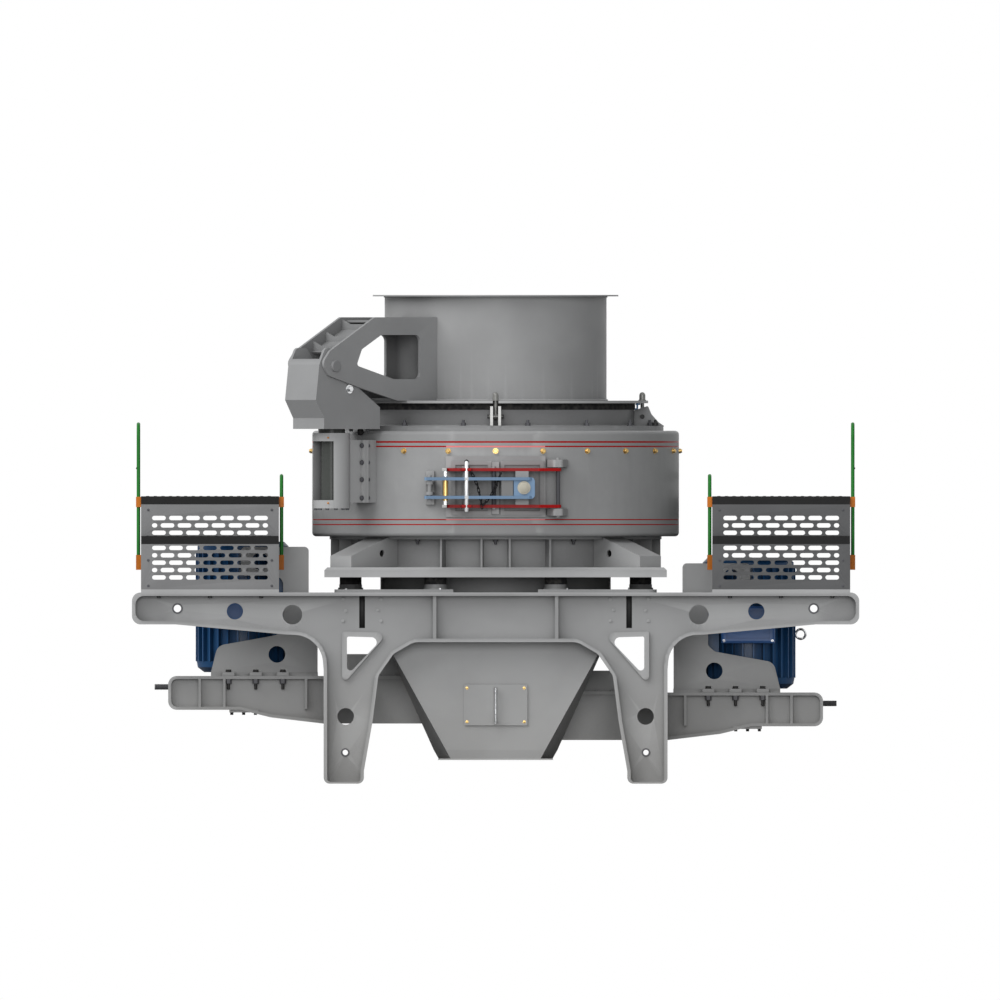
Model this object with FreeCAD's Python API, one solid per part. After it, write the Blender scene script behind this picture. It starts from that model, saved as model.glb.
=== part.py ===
# Vertical-shaft impact crusher with two belt drives, +Z up, millimetres.
# The origin is on the drum's axis at floor level, and the inspection door faces -Y.
import FreeCAD, Part
import math
import os

V = FreeCAD.Vector
UP = V(0, 0, 1)

# Base frame: two side frames with legs and long arms
FRAME_Y = 1080.0            # side frame's web from the drum's axis
FRAME_WEB = 24.0
FLANGE = 24.0
FLANGE_WIDE = 200.0
ARM_REACH = 2491.0          # arm ends from the drum's axis
ARM_TOP = 1310.0
ARM_END_DEEP = 219.0
ARM_ROOT_DEEP = 288.0
ARM_LEVEL_X = 2193.0
ARM_ROOT_X = 1433.0
LEG_OUT = 1178.0
LEG_IN = 902.0
ARCH_TOP = 970.0
FOOT_X = 1040.0             # foundation bolt holes
FOOT_Y = 1135.0
FOOT_HOLE_R = 16.5
FOOT_ROUND = 42.0
BEAM_IN = 850.0
BEAM_WIDE = 110.0
BEAM_DEEP = 250.0

# Corner pads and rubber mounts under the drum's platform
PAD_THICK = 21.0
MOUNT_CIRCLE = 1075.0
MOUNT_COUNT = 8
CUP_R = 86.0
CUP_HIGH = 34.0
RUBBER_R = 75.0
RUBBER_HIGH = 49.0
PLATFORM_HALF = 1173.0
PLATFORM_THICK = 68.0
PLATFORM_BEVEL = 20.0
SKIRT_R = 789.0
SKIRT_LOW = 1250.0
SKIRT_WALL = 14.0

# Drum support between platform and drum
SUPPORT_FLANGE_R = 1137.0
SUPPORT_FLANGE_THICK = 20.0
SUPPORT_WALL_R = 1048.0
SUPPORT_HIGH = 212.0
RIB_THICK = 14.0
RIB_ANGLES = (-19.3, -4.9, 4.9, 19.3)     # ribs from the middle of each side, in degrees
CORNER_ARM_WIDE = 203.0
CORNER_ARM_REACH = 1500.0

# Drum
DRUM_R = 1256.0
DRUM_WALL = 30.0
DRUM_HIGH = 724.0
DRUM_ROUND = 34.0
DRUM_PLATE = 30.0
STRIPE_DEEP = 4.0
STRIPES = ((2341.0, 12.0), (2310.0, 10.0), (1809.0, 8.0), (1775.0, 8.0))     # height, width
STUD_Z = 2279.0
STUD_COUNT = 24
STUD_R = 16.0
STUD_PROUD = 22.0
ROTOR_R = 575.0
ROTOR_HIGH = 330.0
ROTOR_LIFT = 160.0          # rotor's underside above the drum's floor
ROTOR_EYE_R = 190.0
ROTOR_PLATE = 40.0
ROTOR_PORTS = 3
CARTRIDGE_R = 245.0

# Upper ring, lid and feed tube
BASE_FLANGE_R = 1150.0
BASE_FLANGE_THICK = 34.0
RING_R = 949.0
RING_WALL = 25.0
RING_HIGH = 144.0
SEAL_R = 956.0
SEAL_HIGH = 44.0
LID_R = 1045.0
LID_THICK = 18.0
TUBE_R = 760.0
TUBE_WALL = 12.0
TUBE_HIGH = 714.0
TOP_FLANGE_R = 841.0
TOP_FLANGE_THICK = 10.0
CONE_STEP = 40.0            # cone's mouth inside the tube
CONE_THROAT_R = 150.0
CONE_SHEET = 12.0
CLAMP_R = 1005.0
CLAMP_COUNT = 4
CLAMP_PIN_Z = 2515.0
CLAMP_SLOT_HALF = 20.0
CLAMP_RIB_GAP = 36.0
CLAMP_RIB_THICK = 19.0
CLAMP_PIN_R = 11.0
CLAMP_BOLT_R = 13.0

# Inspection door: its leaf, arms, lever and hinge
DOOR_HALF = 342.0
DOOR_LOW = 1826.0
DOOR_HIGH = 2244.0
DOOR_GAP = 6.0
DOOR_THICK = 26.0
DOOR_FRAMES = ((-302.0, -28.0), (34.0, 330.0))
DOOR_FRAME_PROUD = 12.0
DOOR_FRAME_WIDE = 26.0
DOORWAY_HALF = 290.0
DOORWAY_EDGE = 50.0
HINGE_X = 428.0
HINGE_OFF = 56.0            # hinge pin's axis from the drum's side
HINGE_PIN_R = 14.0
PIN_FIT = 0.3
MOVE_GAP = 6.0
DOOR_ARM_THICK = 21.0
DOOR_ARM_LOW = 1890.0
DOOR_ARM_HIGH = 2141.0
DOOR_ARM_OFF = 130.0        # arms' front edges from the drum's side
DOOR_ARM_END = -336.0
ARM_PINS_X = (-12.0, -214.0)
ARM_PIN_R = 14.0
LEVER_THICK = 21.0
LEVER_LOW = 1951.0
LEVER_HIGH = 2078.0
LEVER_END = 249.0
LEVER_WIDE = 84.0
CATCH_X = -452.0
CATCH_PIN_R = 14.0
LUG_ROOT = 156.0            # how far the lugs are drawn inside the drum's side, before it trims them
CLAMP_SCREW_X = 194.0
CLAMP_SCREW_Z = 2027.0
CLAMP_SCREW_R = 44.0

# Lid-lifting column and arm, at 45 degrees on the front left
COLUMN_TURN = 225.0
COLUMN_OFF = 333.0          # column's axis from the drum's side
COLUMN_R = 127.0
COLUMN_BORE = 92.0
COLUMN_LENGTH = 516.0
COLUMN_DROP = 16.0          # housing's top below the drum's
COLUMN_RING = 56.0
COLLAR_HIGH = 28.0
COLUMN_BRACKET_EDGE = 39.0
COLUMN_BRACKET_HIGH = 429.0
SHAFT_R = 72.0
HEAD_WIDE = 300.0
HEAD_PLATE = 20.0
ARM_WIDE = 350.0
ARM_PLATE = 22.0
ARM_RISE = 334.0
ARM_RIBS = ((412.0, 327.0), (254.0, 243.0), (132.0, 179.0))     # inward of the pivot, above it
ARM_RIB_DEEP = 96.0
PIVOT_OUT = 143.0
PIVOT_UP = 431.0
PIVOT_R = 28.0
JACK_IN = 139.0
JACK_R = 62.0

# Drives: motor seats, brackets, motors and belt guards
DRIVE_DROP = 113.0          # the right-hand drive sits this much lower
SEAT_OUT = 2243.0
SEAT_TOP = 738.0
SEAT_DEEP = 232.0
SEAT_HALF = 560.0
SEAT_PLATE = 20.0
BRACKET_OUT = 1950.0
BRACKET_IN = 1217.0
BRACKET_BACK = 1280.0
BRACKET_BASE = 26.0
CHEEK_Y = 352.0
CHEEK_THICK = 20.0
MOUNT_PLATE_X = 1382.0
MOUNT_PLATE_THICK = 20.0
MOTOR_R = 326.0
MOTOR_CORE_R = 296.0
MOTOR_FIN_LOW = 839.0
MOTOR_FIN_HIGH = 1600.0
MOTOR_TOP = 1658.0
MOTOR_LOW = 764.0
SHAFT_WELL_R = 70.0
FIN_COUNT = 28
FIN_THICK = 12.0
GUARD_TOP = 888.0
GUARD_LOW = 412.0
GUARD_HALF = 380.0
GUARD_LIP = 22.0

# Discharge chutes
CHUTE_TOP_HALF = 720.0
CHUTE_KNEE_Z = 890.0
CHUTE_NECK_Z = 231.0
CHUTE_LEAN = 30.0           # front face's foot behind its knee
CHUTE_FOOT_FRONT = 302.0
CHUTE_FOOT_BACK = 385.0
CHUTE_LOW = 162.0
CHUTE_WALL = 12.0
COVER_HALF = 218.0
COVER_LOW = 400.0
COVER_HIGH = 681.0
COVER_THICK = 14.0

# Step platforms over the motors
STEP_OUT = 2429.0
STEP_IN = 1484.0
STEP_FRONT = 1170.0
STEP_GOING = 300.0
TREAD_Z = 1697.0
DECK_Z = 1969.0
NOSING = 56.0
SHEET = 6.0
STRIP = 21.0
SLOT_LONG = 96.0
SLOT_HIGH = 27.0
SLOT_PITCH = 116.5
SLOT_COUNT = 7
SLOT_ROW = 50.5
LOWER_ROWS = 5
UPPER_ROWS = 3
LOWER_FIRST_ROW = 1615.0    # height of each riser's top row of slots
UPPER_FIRST_ROW = 1820.0
RAIL_BEND = 90.0
RAIL_R = 12.5
RAIL_HALF = 800.0
RAIL_OFF = 17.5             # rail's centre line from the unit's side
RAIL_LOW = 1545.0
CLAMP_LOW = 1895.0
OUTER_RAIL_HIGH = 2463.0
OUTER_RAIL_MID = 2161.0
INNER_RAIL_HIGH = 2109.0
INNER_RAIL_MID = 1830.0

# Levels that follow from the sizes above
PAD_Z = ARM_TOP
CUP_Z = PAD_Z + PAD_THICK
RUBBER_Z = CUP_Z + CUP_HIGH
PLATFORM_Z = RUBBER_Z + RUBBER_HIGH
SUPPORT_Z = PLATFORM_Z + PLATFORM_THICK
DRUM_Z = SUPPORT_Z + SUPPORT_HIGH
DRUM_TOP = DRUM_Z + DRUM_HIGH
RING_TOP = DRUM_TOP + RING_HIGH
LID_Z = RING_TOP + SEAL_HIGH
TUBE_Z = LID_Z + LID_THICK
TUBE_TOP = TUBE_Z + TUBE_HIGH
FRAME_INNER = FRAME_Y - FLANGE_WIDE / 2
ROTOR_Z = DRUM_Z + ROTOR_LIFT
CONE_MOUTH_R = TUBE_R - CONE_STEP
DOORWAY_ANGLE = math.degrees(math.asin(DOORWAY_HALF / (DRUM_R - DRUM_WALL)))
HINGE_Y = -DRUM_R - HINGE_OFF
DOOR_ARM_FRONT = -DRUM_R - DOOR_ARM_OFF
CATCH_Y = DOOR_ARM_FRONT - LEVER_WIDE / 2
COLUMN_RADIAL = DRUM_R + COLUMN_OFF
COLUMN_HIGH = DRUM_TOP - COLUMN_DROP
COLUMN_LOW = COLUMN_HIGH - COLUMN_LENGTH
HEAD_Z = COLUMN_HIGH + COLLAR_HIGH
PIVOT_RADIAL = COLUMN_RADIAL + PIVOT_OUT
PIVOT_Z = HEAD_Z + PIVOT_UP
JACK_RADIAL = COLUMN_RADIAL - JACK_IN
MOTOR_X = MOUNT_PLATE_X + MOUNT_PLATE_THICK + MOTOR_R + 2.0
STEP_BASE = ARM_TOP + STRIP
UPPER_Y = STEP_FRONT - STEP_GOING


def box(x0, x1, y0, y1, z0, z1):
    return Part.makeBox(x1 - x0, y1 - y0, z1 - z0, V(x0, y0, z0))


def cylinder(x, y, z0, z1, radius):
    return Part.makeCylinder(radius, z1 - z0, V(x, y, z0))


def rod(start, end, radius):
    start = V(*start)
    along = V(*end) - start
    return Part.makeCylinder(radius, along.Length, start, along)


def ring(z0, z1, outer, inner):
    return cylinder(0, 0, z0, z1, outer).cut(cylinder(0, 0, z0 - 1, z1 + 1, inner))


def fuse(pieces):
    return pieces[0].multiFuse(pieces[1:]).removeSplitter()


def cut(shape, tools):
    for tool in tools:
        shape = shape.cut(tool)
    return shape


def mirror_x(shape):
    return shape.mirror(V(0, 0, 0), V(1, 0, 0))


def mirror_y(shape):
    return shape.mirror(V(0, 0, 0), V(0, 1, 0))


def turned(shape, degrees):
    copy = shape.copy()
    copy.rotate(V(0, 0, 0), UP, degrees)
    return copy


def moved(shape, x, y, z):
    copy = shape.copy()
    copy.translate(V(x, y, z))
    return copy


def rounded_face(points, to_point):
    """A face from corners (u, v, radius), each rounded by a tangent arc where radius is over 0."""
    count = len(points)
    runs = []
    for i in range(count):
        before = points[i - 1]
        u, v, radius = points[i]
        after = points[(i + 1) % count]
        corner = V(u, v, 0)
        back = V(before[0], before[1], 0) - corner
        ahead = V(after[0], after[1], 0) - corner
        back.normalize()
        ahead.normalize()
        if radius > 0:
            half = back.getAngle(ahead) / 2
            reach = radius / math.tan(half)
            middle = back + ahead
            middle.normalize()
            centre = corner + middle * (radius / math.sin(half))
            top = centre - middle * radius
            runs.append((corner + back * reach, top, corner + ahead * reach))
        else:
            runs.append((corner, None, corner))
    edges = []
    for i in range(count):
        start, top, end = runs[i]
        following = runs[(i + 1) % count][0]
        if top is not None:
            edges.append(Part.Arc(to_point(start), to_point(top), to_point(end)).toShape())
        if (following - end).Length > 0.01:
            edges.append(Part.LineSegment(to_point(end), to_point(following)).toShape())
    return Part.Face(Part.Wire(edges))


def plate_xz(points, y0, y1):
    face = rounded_face(points, lambda p: V(p.x, y0, p.y))
    return face.extrude(V(0, y1 - y0, 0))


def plate_xy(points, z0, z1):
    face = rounded_face(points, lambda p: V(p.x, p.y, z0))
    return face.extrude(V(0, 0, z1 - z0))


def lofted(lower, upper, z0, z1):
    wires = []
    for corners, z in ((lower, z0), (upper, z1)):
        wires.append(Part.makePolygon([V(x, y, z) for x, y in corners + corners[:1]]))
    return Part.makeLoft(wires, True, True)


# Side frames

def frame_outline(inset):
    """Half of a side frame's outline on the +X side, drawn in by inset."""
    arm_end = ARM_TOP - ARM_END_DEEP + inset
    arm_root = ARM_TOP - ARM_ROOT_DEEP + inset
    return [
        (0, ARM_TOP - inset, 0),
        (ARM_REACH - inset, ARM_TOP - inset, 59),
        (ARM_REACH - inset, arm_end, 59),
        (ARM_LEVEL_X, arm_end, 0),
        (ARM_ROOT_X, arm_root, 0),
        (LEG_OUT - inset + 20, arm_root - 10, 200 + inset),
        (LEG_OUT - inset, arm_root - 240, 0),
        (LEG_OUT - inset, inset * 0.5, FOOT_ROUND - inset * 0.7),
        (LEG_IN + inset, inset * 0.5, FOOT_ROUND - inset * 0.7),
        (LEG_IN + inset, 87, 0),
        (843 + inset, 425, 0),
        (803 + inset, 740, 60),
        (699 + inset * 0.7, 890 + inset * 0.7, 60),
        (560, ARCH_TOP + inset, 120),
        (0, ARCH_TOP + inset, 0),
    ]


def hole_outline(inset):
    """The triangle over each leg, drawn in by inset."""
    return [
        (735 + inset, 1035 - inset, 36),
        (1052 - inset, 1042 - inset, 12),
        (1052 - inset, 672 + inset * 2, 24),
    ]


def side_frame_half():
    y0 = -FRAME_Y - FLANGE_WIDE / 2
    y1 = -FRAME_Y + FLANGE_WIDE / 2
    web0 = -FRAME_Y - FRAME_WEB / 2
    web1 = -FRAME_Y + FRAME_WEB / 2
    band = plate_xz(frame_outline(0), y0, y1).cut(plate_xz(frame_outline(FLANGE), y0 - 1, y1 + 1))
    band = band.cut(box(-1, FLANGE + 2, y0 - 2, y1 + 2, ARCH_TOP + FLANGE, ARM_TOP - FLANGE))
    web = plate_xz(frame_outline(FLANGE / 2), web0, web1)
    lining = plate_xz(hole_outline(0), y0 + 60, y1 - 60).cut(plate_xz(hole_outline(34), y0, y1))
    stiffener = box(406, 430, y0 + 20, y1 - 20, ARCH_TOP, ARM_TOP - FLANGE / 2)
    half = fuse([band, web, stiffener])
    half = half.cut(plate_xz(hole_outline(17), y0 - 1, y1 + 1)).fuse(lining)
    slot = box(895, 934, y0 - 1, y1 + 1, 1066, ARM_TOP - FLANGE)
    holes = [rod((x, y0 - 1, z), (x, y1 + 1, z), r) for x, z, r in (
        (2180, 1201, 26), (1786, 1181, 56), (1392, 1158, 67), (1027, 461, 57), (1027, 216, 21))]
    holes.append(cylinder(FOOT_X, -FOOT_Y, -1, FLANGE * 2, FOOT_HOLE_R))
    return cut(half, [slot] + holes)


def side_frame():
    half = side_frame_half()
    return fuse([half, mirror_x(half)])


def cross_beam():
    return box(BEAM_IN, BEAM_IN + BEAM_WIDE, -FRAME_INNER, FRAME_INNER, ARM_TOP - BEAM_DEEP, ARM_TOP)


def corner_pads():
    near = 290.0
    far = 1104.0
    shape = [(far, near, 0), (far, far, 60), (near, far, 0), (near + 110, far - 210, 0),
             (far - 210, near + 110, 0)]
    pad = plate_xy(shape, PAD_Z, PAD_Z + PAD_THICK)
    return Part.makeCompound([turned(pad, 90 * i) for i in range(4)])


def on_mounts(make):
    solids = []
    for i in range(MOUNT_COUNT):
        angle = math.radians(22.5 + 360.0 * i / MOUNT_COUNT)
        solids.append(make(MOUNT_CIRCLE * math.cos(angle), MOUNT_CIRCLE * math.sin(angle)))
    return Part.makeCompound(solids)


def mount_cup(x, y):
    foot = cylinder(x, y, CUP_Z, CUP_Z + CUP_HIGH * 0.35, CUP_R)
    return foot.fuse(cylinder(x, y, CUP_Z, CUP_Z + CUP_HIGH, CUP_R - 8)).removeSplitter()


def rubber_block(x, y):
    return cylinder(x, y, RUBBER_Z, RUBBER_Z + RUBBER_HIGH, RUBBER_R)


def support_platform():
    h = PLATFORM_HALF
    b = PLATFORM_BEVEL
    square = [(h, h), (-h, h), (-h, -h), (h, -h)]
    top = [(x * (h - b) / h, y * (h - b) / h) for x, y in square]
    body = box(-h, h, -h, h, PLATFORM_Z, SUPPORT_Z - b)
    body = body.fuse(lofted(square, top, SUPPORT_Z - b, SUPPORT_Z))
    return body.cut(cylinder(0, 0, PLATFORM_Z - 1, SUPPORT_Z + 1, SKIRT_R)).removeSplitter()


def lower_skirt():
    return ring(SKIRT_LOW, SUPPORT_Z, SKIRT_R, SKIRT_R - SKIRT_WALL)


def support_ring():
    z0 = SUPPORT_Z
    z1 = DRUM_Z
    wall = ring(z0, z1, SUPPORT_WALL_R, SUPPORT_WALL_R - 20)
    flange = ring(z1 - SUPPORT_FLANGE_THICK, z1, SUPPORT_FLANGE_R, SUPPORT_WALL_R - 20)
    pieces = [wall, flange]
    rib = box(SUPPORT_WALL_R - 10, SUPPORT_FLANGE_R - 4, -RIB_THICK / 2, RIB_THICK / 2, z0, z1 - 4)
    for side in range(4):
        for angle in RIB_ANGLES:
            pieces.append(turned(rib, 90 * side + angle))
    return fuse(pieces)


def corner_arm():
    half = CORNER_ARM_WIDE / 2
    z0 = SUPPORT_Z
    shape = [(SUPPORT_WALL_R + 2, z0, 0), (CORNER_ARM_REACH, z0, 0), (CORNER_ARM_REACH, z0 + 78, 0),
             (SUPPORT_FLANGE_R + 3, z0 + 205, 0), (SUPPORT_FLANGE_R + 3, DRUM_Z - SUPPORT_FLANGE_THICK, 0),
             (SUPPORT_WALL_R + 2, DRUM_Z - SUPPORT_FLANGE_THICK, 0)]
    arm = plate_xz(shape, -half, half)
    arm = arm.cut(rod((1200, -half - 1, z0 + 95), (1200, half + 1, z0 + 95), 24))
    sheet = RIB_THICK
    hollow = [(SUPPORT_WALL_R + 3, z0 + sheet, 0), (CORNER_ARM_REACH - sheet, z0 + sheet, 0),
              (CORNER_ARM_REACH - sheet, z0 + 66, 0), (SUPPORT_FLANGE_R - 8, z0 + 178, 0),
              (SUPPORT_WALL_R + 3, z0 + 178, 0)]
    arm = arm.cut(plate_xz(hollow, -half + sheet, half - sheet))
    round_wall = cylinder(0, 0, z0 - 1, DRUM_Z + 1, SUPPORT_WALL_R + PIN_FIT)
    return arm.cut(round_wall)


def corner_arms():
    arm = corner_arm()
    return Part.makeCompound([turned(arm, 45 + 90 * i) for i in range(4)])


# Drum

def drum_sector(first, last):
    """A stretch of the drum's wall between two angles, with rounded rims and stripe grooves."""
    inner = DRUM_R - DRUM_WALL
    rim = DRUM_ROUND * 0.8
    section = [(inner, DRUM_Z, 0), (DRUM_R, DRUM_Z, rim), (DRUM_R, DRUM_TOP, rim), (inner, DRUM_TOP, 0)]
    face = rounded_face(section, lambda p: V(p.x, 0, p.y))
    wall = face.revolve(V(0, 0, 0), UP, last - first)
    wall.rotate(V(0, 0, 0), UP, first)
    for z, high in STRIPES:
        wall = wall.cut(ring(z - high / 2, z + high / 2, DRUM_R + 5, DRUM_R - STRIPE_DEEP))
    return wall


def door_panel(low, high):
    sector = drum_sector(270 - DOORWAY_ANGLE, 270 + DOORWAY_ANGLE)
    return sector.common(box(-DRUM_R, DRUM_R, -DRUM_R - 9, 0, low, high))


def disc(z0, outer, hole):
    return ring(z0, z0 + DRUM_PLATE, outer, hole)


def drum_stud():
    stud = rod((DRUM_R - 4, 0, STUD_Z), (DRUM_R + STUD_PROUD * 0.6, 0, STUD_Z), STUD_R)
    tip = rod((DRUM_R, 0, STUD_Z), (DRUM_R + STUD_PROUD, 0, STUD_Z), STUD_R * 0.7)
    stud = stud.fuse(tip)
    return stud.cut(cylinder(0, 0, STUD_Z - 40, STUD_Z + 40, DRUM_R + PIN_FIT))


def drum_studs():
    stud = drum_stud()
    return Part.makeCompound([turned(stud, 360.0 * i / STUD_COUNT) for i in range(STUD_COUNT)])


def rotor():
    """Closed drum that flings the rock out through three ports, with a spreader cone under its eye."""
    z0 = ROTOR_Z
    z1 = z0 + ROTOR_HIGH
    plate = ROTOR_PLATE
    lower = cylinder(0, 0, z0, z0 + plate, ROTOR_R)
    upper = ring(z1 - plate, z1, ROTOR_R, ROTOR_EYE_R)
    wall = ring(z0, z1, ROTOR_R - 12, ROTOR_R - 62)
    port = box(0, ROTOR_R + 9, -150, 150, z0 + plate, z1 - plate)
    for i in range(ROTOR_PORTS):
        wall = wall.cut(turned(port, 360 / ROTOR_PORTS * i + 30))
    spreader = Part.makeCone(ROTOR_EYE_R, 60, 60, V(0, 0, z0 + plate), UP)
    return fuse([lower, upper, wall, spreader])


def bearing_cartridge():
    """Housing of the rotor's shaft, held by three arms inside the skirt."""
    z0 = GUARD_TOP
    body = cylinder(0, 0, z0, ROTOR_Z, CARTRIDGE_R)
    inner = SKIRT_R - SKIRT_WALL
    for i in range(3):
        arm = box(0, inner - 1, -45, 45, SUPPORT_Z - 190, SUPPORT_Z - 20)
        body = body.fuse(turned(arm, 30 + 120 * i))
    reach = cylinder(0, 0, z0, ROTOR_Z + 1, inner - PIN_FIT)
    return body.common(reach)


# Upper ring, lid and feed tube

def upper_ring():
    top = DRUM_TOP + BASE_FLANGE_THICK
    pieces = [
        ring(DRUM_TOP, DRUM_TOP + RING_HIGH, RING_R, RING_R - RING_WALL),
        ring(DRUM_TOP, top, BASE_FLANGE_R, RING_R - RING_WALL),
    ]
    rib_shape = [(RING_R - 8, top - 6, 0), (1153, top - 6, 0), (1153, top, 0), (1116, top + 25, 0),
                 (1068, top + 79, 30), (1044, top + 136, 10), (RING_R - 8, top + 104, 0)]
    rib = plate_xz(rib_shape, 0, CLAMP_RIB_THICK)
    pin_hole = rod((CLAMP_R, -99, CLAMP_PIN_Z), (CLAMP_R, 99, CLAMP_PIN_Z), CLAMP_PIN_R + PIN_FIT)
    for i in range(CLAMP_COUNT):
        for y in (CLAMP_RIB_GAP / 2, -CLAMP_RIB_GAP / 2 - CLAMP_RIB_THICK):
            pieces.append(turned(moved(rib, 0, y, 0).cut(pin_hole), 360 / CLAMP_COUNT * i))
    return fuse(pieces)


def swing_bolt():
    top = TUBE_Z
    pin = rod((CLAMP_R, -50, CLAMP_PIN_Z), (CLAMP_R, 50, CLAMP_PIN_Z), CLAMP_PIN_R)
    eye = rod((CLAMP_R, -15, CLAMP_PIN_Z), (CLAMP_R, 15, CLAMP_PIN_Z), 19)
    shaft = cylinder(CLAMP_R, 0, CLAMP_PIN_Z, top + 44, CLAMP_BOLT_R)
    washer = cylinder(CLAMP_R, 0, top, top + 6, 27)
    nut = cylinder(CLAMP_R, 0, top + 6, top + 40, 21)
    dome = Part.makeSphere(20, V(CLAMP_R, 0, top + 38))
    return fuse([pin, eye, shaft, washer, nut, dome])


def swing_bolts():
    bolt = swing_bolt()
    return Part.makeCompound([turned(bolt, 360 / CLAMP_COUNT * i) for i in range(CLAMP_COUNT)])


def seal_band():
    return ring(RING_TOP, LID_Z, SEAL_R, SEAL_R - 60)


def lid_plate():
    plate = ring(LID_Z, TUBE_Z, LID_R, TUBE_R - TUBE_WALL)
    half = CLAMP_SLOT_HALF
    slot = box(CLAMP_R, LID_R + 9, -half, half, LID_Z - 1, TUBE_Z + 1)
    slot = slot.fuse(cylinder(CLAMP_R, 0, LID_Z - 1, TUBE_Z + 1, half))
    for i in range(CLAMP_COUNT):
        plate = plate.cut(turned(slot, 360 / CLAMP_COUNT * i))
    return plate


def feed_tube():
    tube = ring(TUBE_Z, TUBE_TOP, TUBE_R, TUBE_R - TUBE_WALL)
    flange = ring(TUBE_TOP, TUBE_TOP + TOP_FLANGE_THICK, TOP_FLANGE_R, TUBE_R - TUBE_WALL)
    return tube.fuse(flange).removeSplitter()


def feed_cone():
    """Funnel in the drum's mouth that leads the rock down to the rotor's eye."""
    rim = 900.0
    throat = CONE_THROAT_R
    high = DRUM_TOP + CONE_SHEET
    low = ROTOR_Z + ROTOR_HIGH + 20
    points = [(rim, DRUM_TOP), (rim, high), (CONE_MOUTH_R, high), (throat, low + 90), (throat, low),
              (throat + 15, low), (throat + 15, low + 78), (CONE_MOUTH_R - 8, DRUM_TOP)]
    wire = Part.makePolygon([V(r, 0, z) for r, z in points + points[:1]])
    return Part.Face(wire).revolve(V(0, 0, 0), UP, 360)


# Inspection door

def leaf_shell(z0, z1, half, inner, outer):
    shell = ring(z0, z1, outer, inner)
    return shell.common(box(-half, half, -outer - 1, -inner / 2, z0, z1))


def door_leaf():
    inner = DRUM_R + DOOR_GAP
    outer = inner + DOOR_THICK
    leaf = leaf_shell(DOOR_LOW, DOOR_HIGH, DOOR_HALF, inner, outer)
    edge = DOOR_FRAME_WIDE
    for x0, x1 in DOOR_FRAMES:
        frame = leaf_shell(DOOR_LOW + 15, DOOR_HIGH - 34, DRUM_R, outer - 2, outer + DOOR_FRAME_PROUD)
        frame = frame.common(box(x0, x1, -DRUM_R - 99, 0, DOOR_LOW, DOOR_HIGH))
        recess = box(x0 + edge, x1 - edge, -DRUM_R - 99, 0, DOOR_LOW + 15 + edge, DOOR_HIGH - 34 - edge)
        leaf = leaf.fuse(frame.cut(recess.cut(cylinder(0, 0, DOOR_LOW, DOOR_HIGH, outer))))
    post = box(-26, 24, DOOR_ARM_FRONT + 60, -outer + 40, DOOR_LOW + 20, DOOR_HIGH - 40)
    post = post.cut(cylinder(0, 0, DOOR_LOW, DOOR_HIGH, outer))
    for z in (DOOR_ARM_LOW, DOOR_ARM_HIGH):
        notch = box(-30, 30, DOOR_ARM_FRONT, 0, z - PIN_FIT, z + DOOR_ARM_THICK + PIN_FIT)
        post = post.cut(notch.cut(cylinder(0, 0, DOOR_LOW, DOOR_HIGH, outer + 11)))
    return leaf.fuse(post).removeSplitter()


def door_arm(z0):
    outer = DRUM_R + DOOR_GAP + DOOR_THICK + DOOR_FRAME_PROUD
    shape = [(DOOR_ARM_END, DOOR_ARM_FRONT, 20), (300, DOOR_ARM_FRONT, 60), (HINGE_X + 22, HINGE_Y - 24, 22),
             (HINGE_X + 22, HINGE_Y + 22, 20), (HINGE_X - 40, HINGE_Y + 30, 0), (DOOR_ARM_END, -DRUM_R + 56, 0)]
    arm = plate_xy(shape, z0, z0 + DOOR_ARM_THICK)
    arm = arm.cut(cylinder(0, 0, z0 - 1, z0 + DOOR_ARM_THICK + 1, outer + PIN_FIT))
    return arm.cut(cylinder(HINGE_X, HINGE_Y, z0 - 1, z0 + DOOR_ARM_THICK + 1, HINGE_PIN_R + PIN_FIT))


def door_arms():
    """Two red arms with the cross plate and the pins that tie them together."""
    low = DOOR_ARM_LOW
    high = DOOR_ARM_HIGH
    top = high + DOOR_ARM_THICK
    pieces = [door_arm(low), door_arm(high)]
    pieces.append(box(136, 226, DOOR_ARM_FRONT, DOOR_ARM_FRONT + 20, low, top))
    for x in ARM_PINS_X:
        pieces.append(cylinder(x, DOOR_ARM_FRONT + 26, low - 12, top + 12, ARM_PIN_R))
    return fuse(pieces)


def door_lever():
    """Two flat bars joined by an end plate; each has an open jaw at its left end for the catch pin."""
    front = DOOR_ARM_FRONT - LEVER_WIDE
    back = DOOR_ARM_FRONT - PIN_FIT
    top = LEVER_HIGH + LEVER_THICK
    jaw = CATCH_PIN_R + 8
    tip = CATCH_X - 36
    shape = [(tip, front, 14), (LEVER_END, front, 30), (LEVER_END, back, 30), (tip, back, 14)]
    bars = []
    for z in (LEVER_LOW, LEVER_HIGH):
        z1 = z + LEVER_THICK
        bar = plate_xy(shape, z, z1)
        bar = bar.cut(box(CATCH_X - jaw, CATCH_X + jaw, CATCH_Y, DOOR_ARM_FRONT + 9, z - 1, z1 + 1))
        bar = bar.cut(cylinder(CATCH_X, CATCH_Y, z - 1, z1 + 1, jaw))
        bars.append(bar)
    plate = box(122, LEVER_END - 4, DOOR_ARM_FRONT - 22, back, LEVER_LOW, top)
    head = (CLAMP_SCREW_X, DOOR_ARM_FRONT - 40, CLAMP_SCREW_Z)
    screw = rod(head, (CLAMP_SCREW_X, back, CLAMP_SCREW_Z), CLAMP_SCREW_R)
    bush = cylinder(-344, front + 40, LEVER_LOW - 6, top + 6, 19)
    stop = box(40, 119, front + 12, front + 60, LEVER_LOW, top)
    return fuse(bars + [plate, screw, bush, stop])


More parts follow.
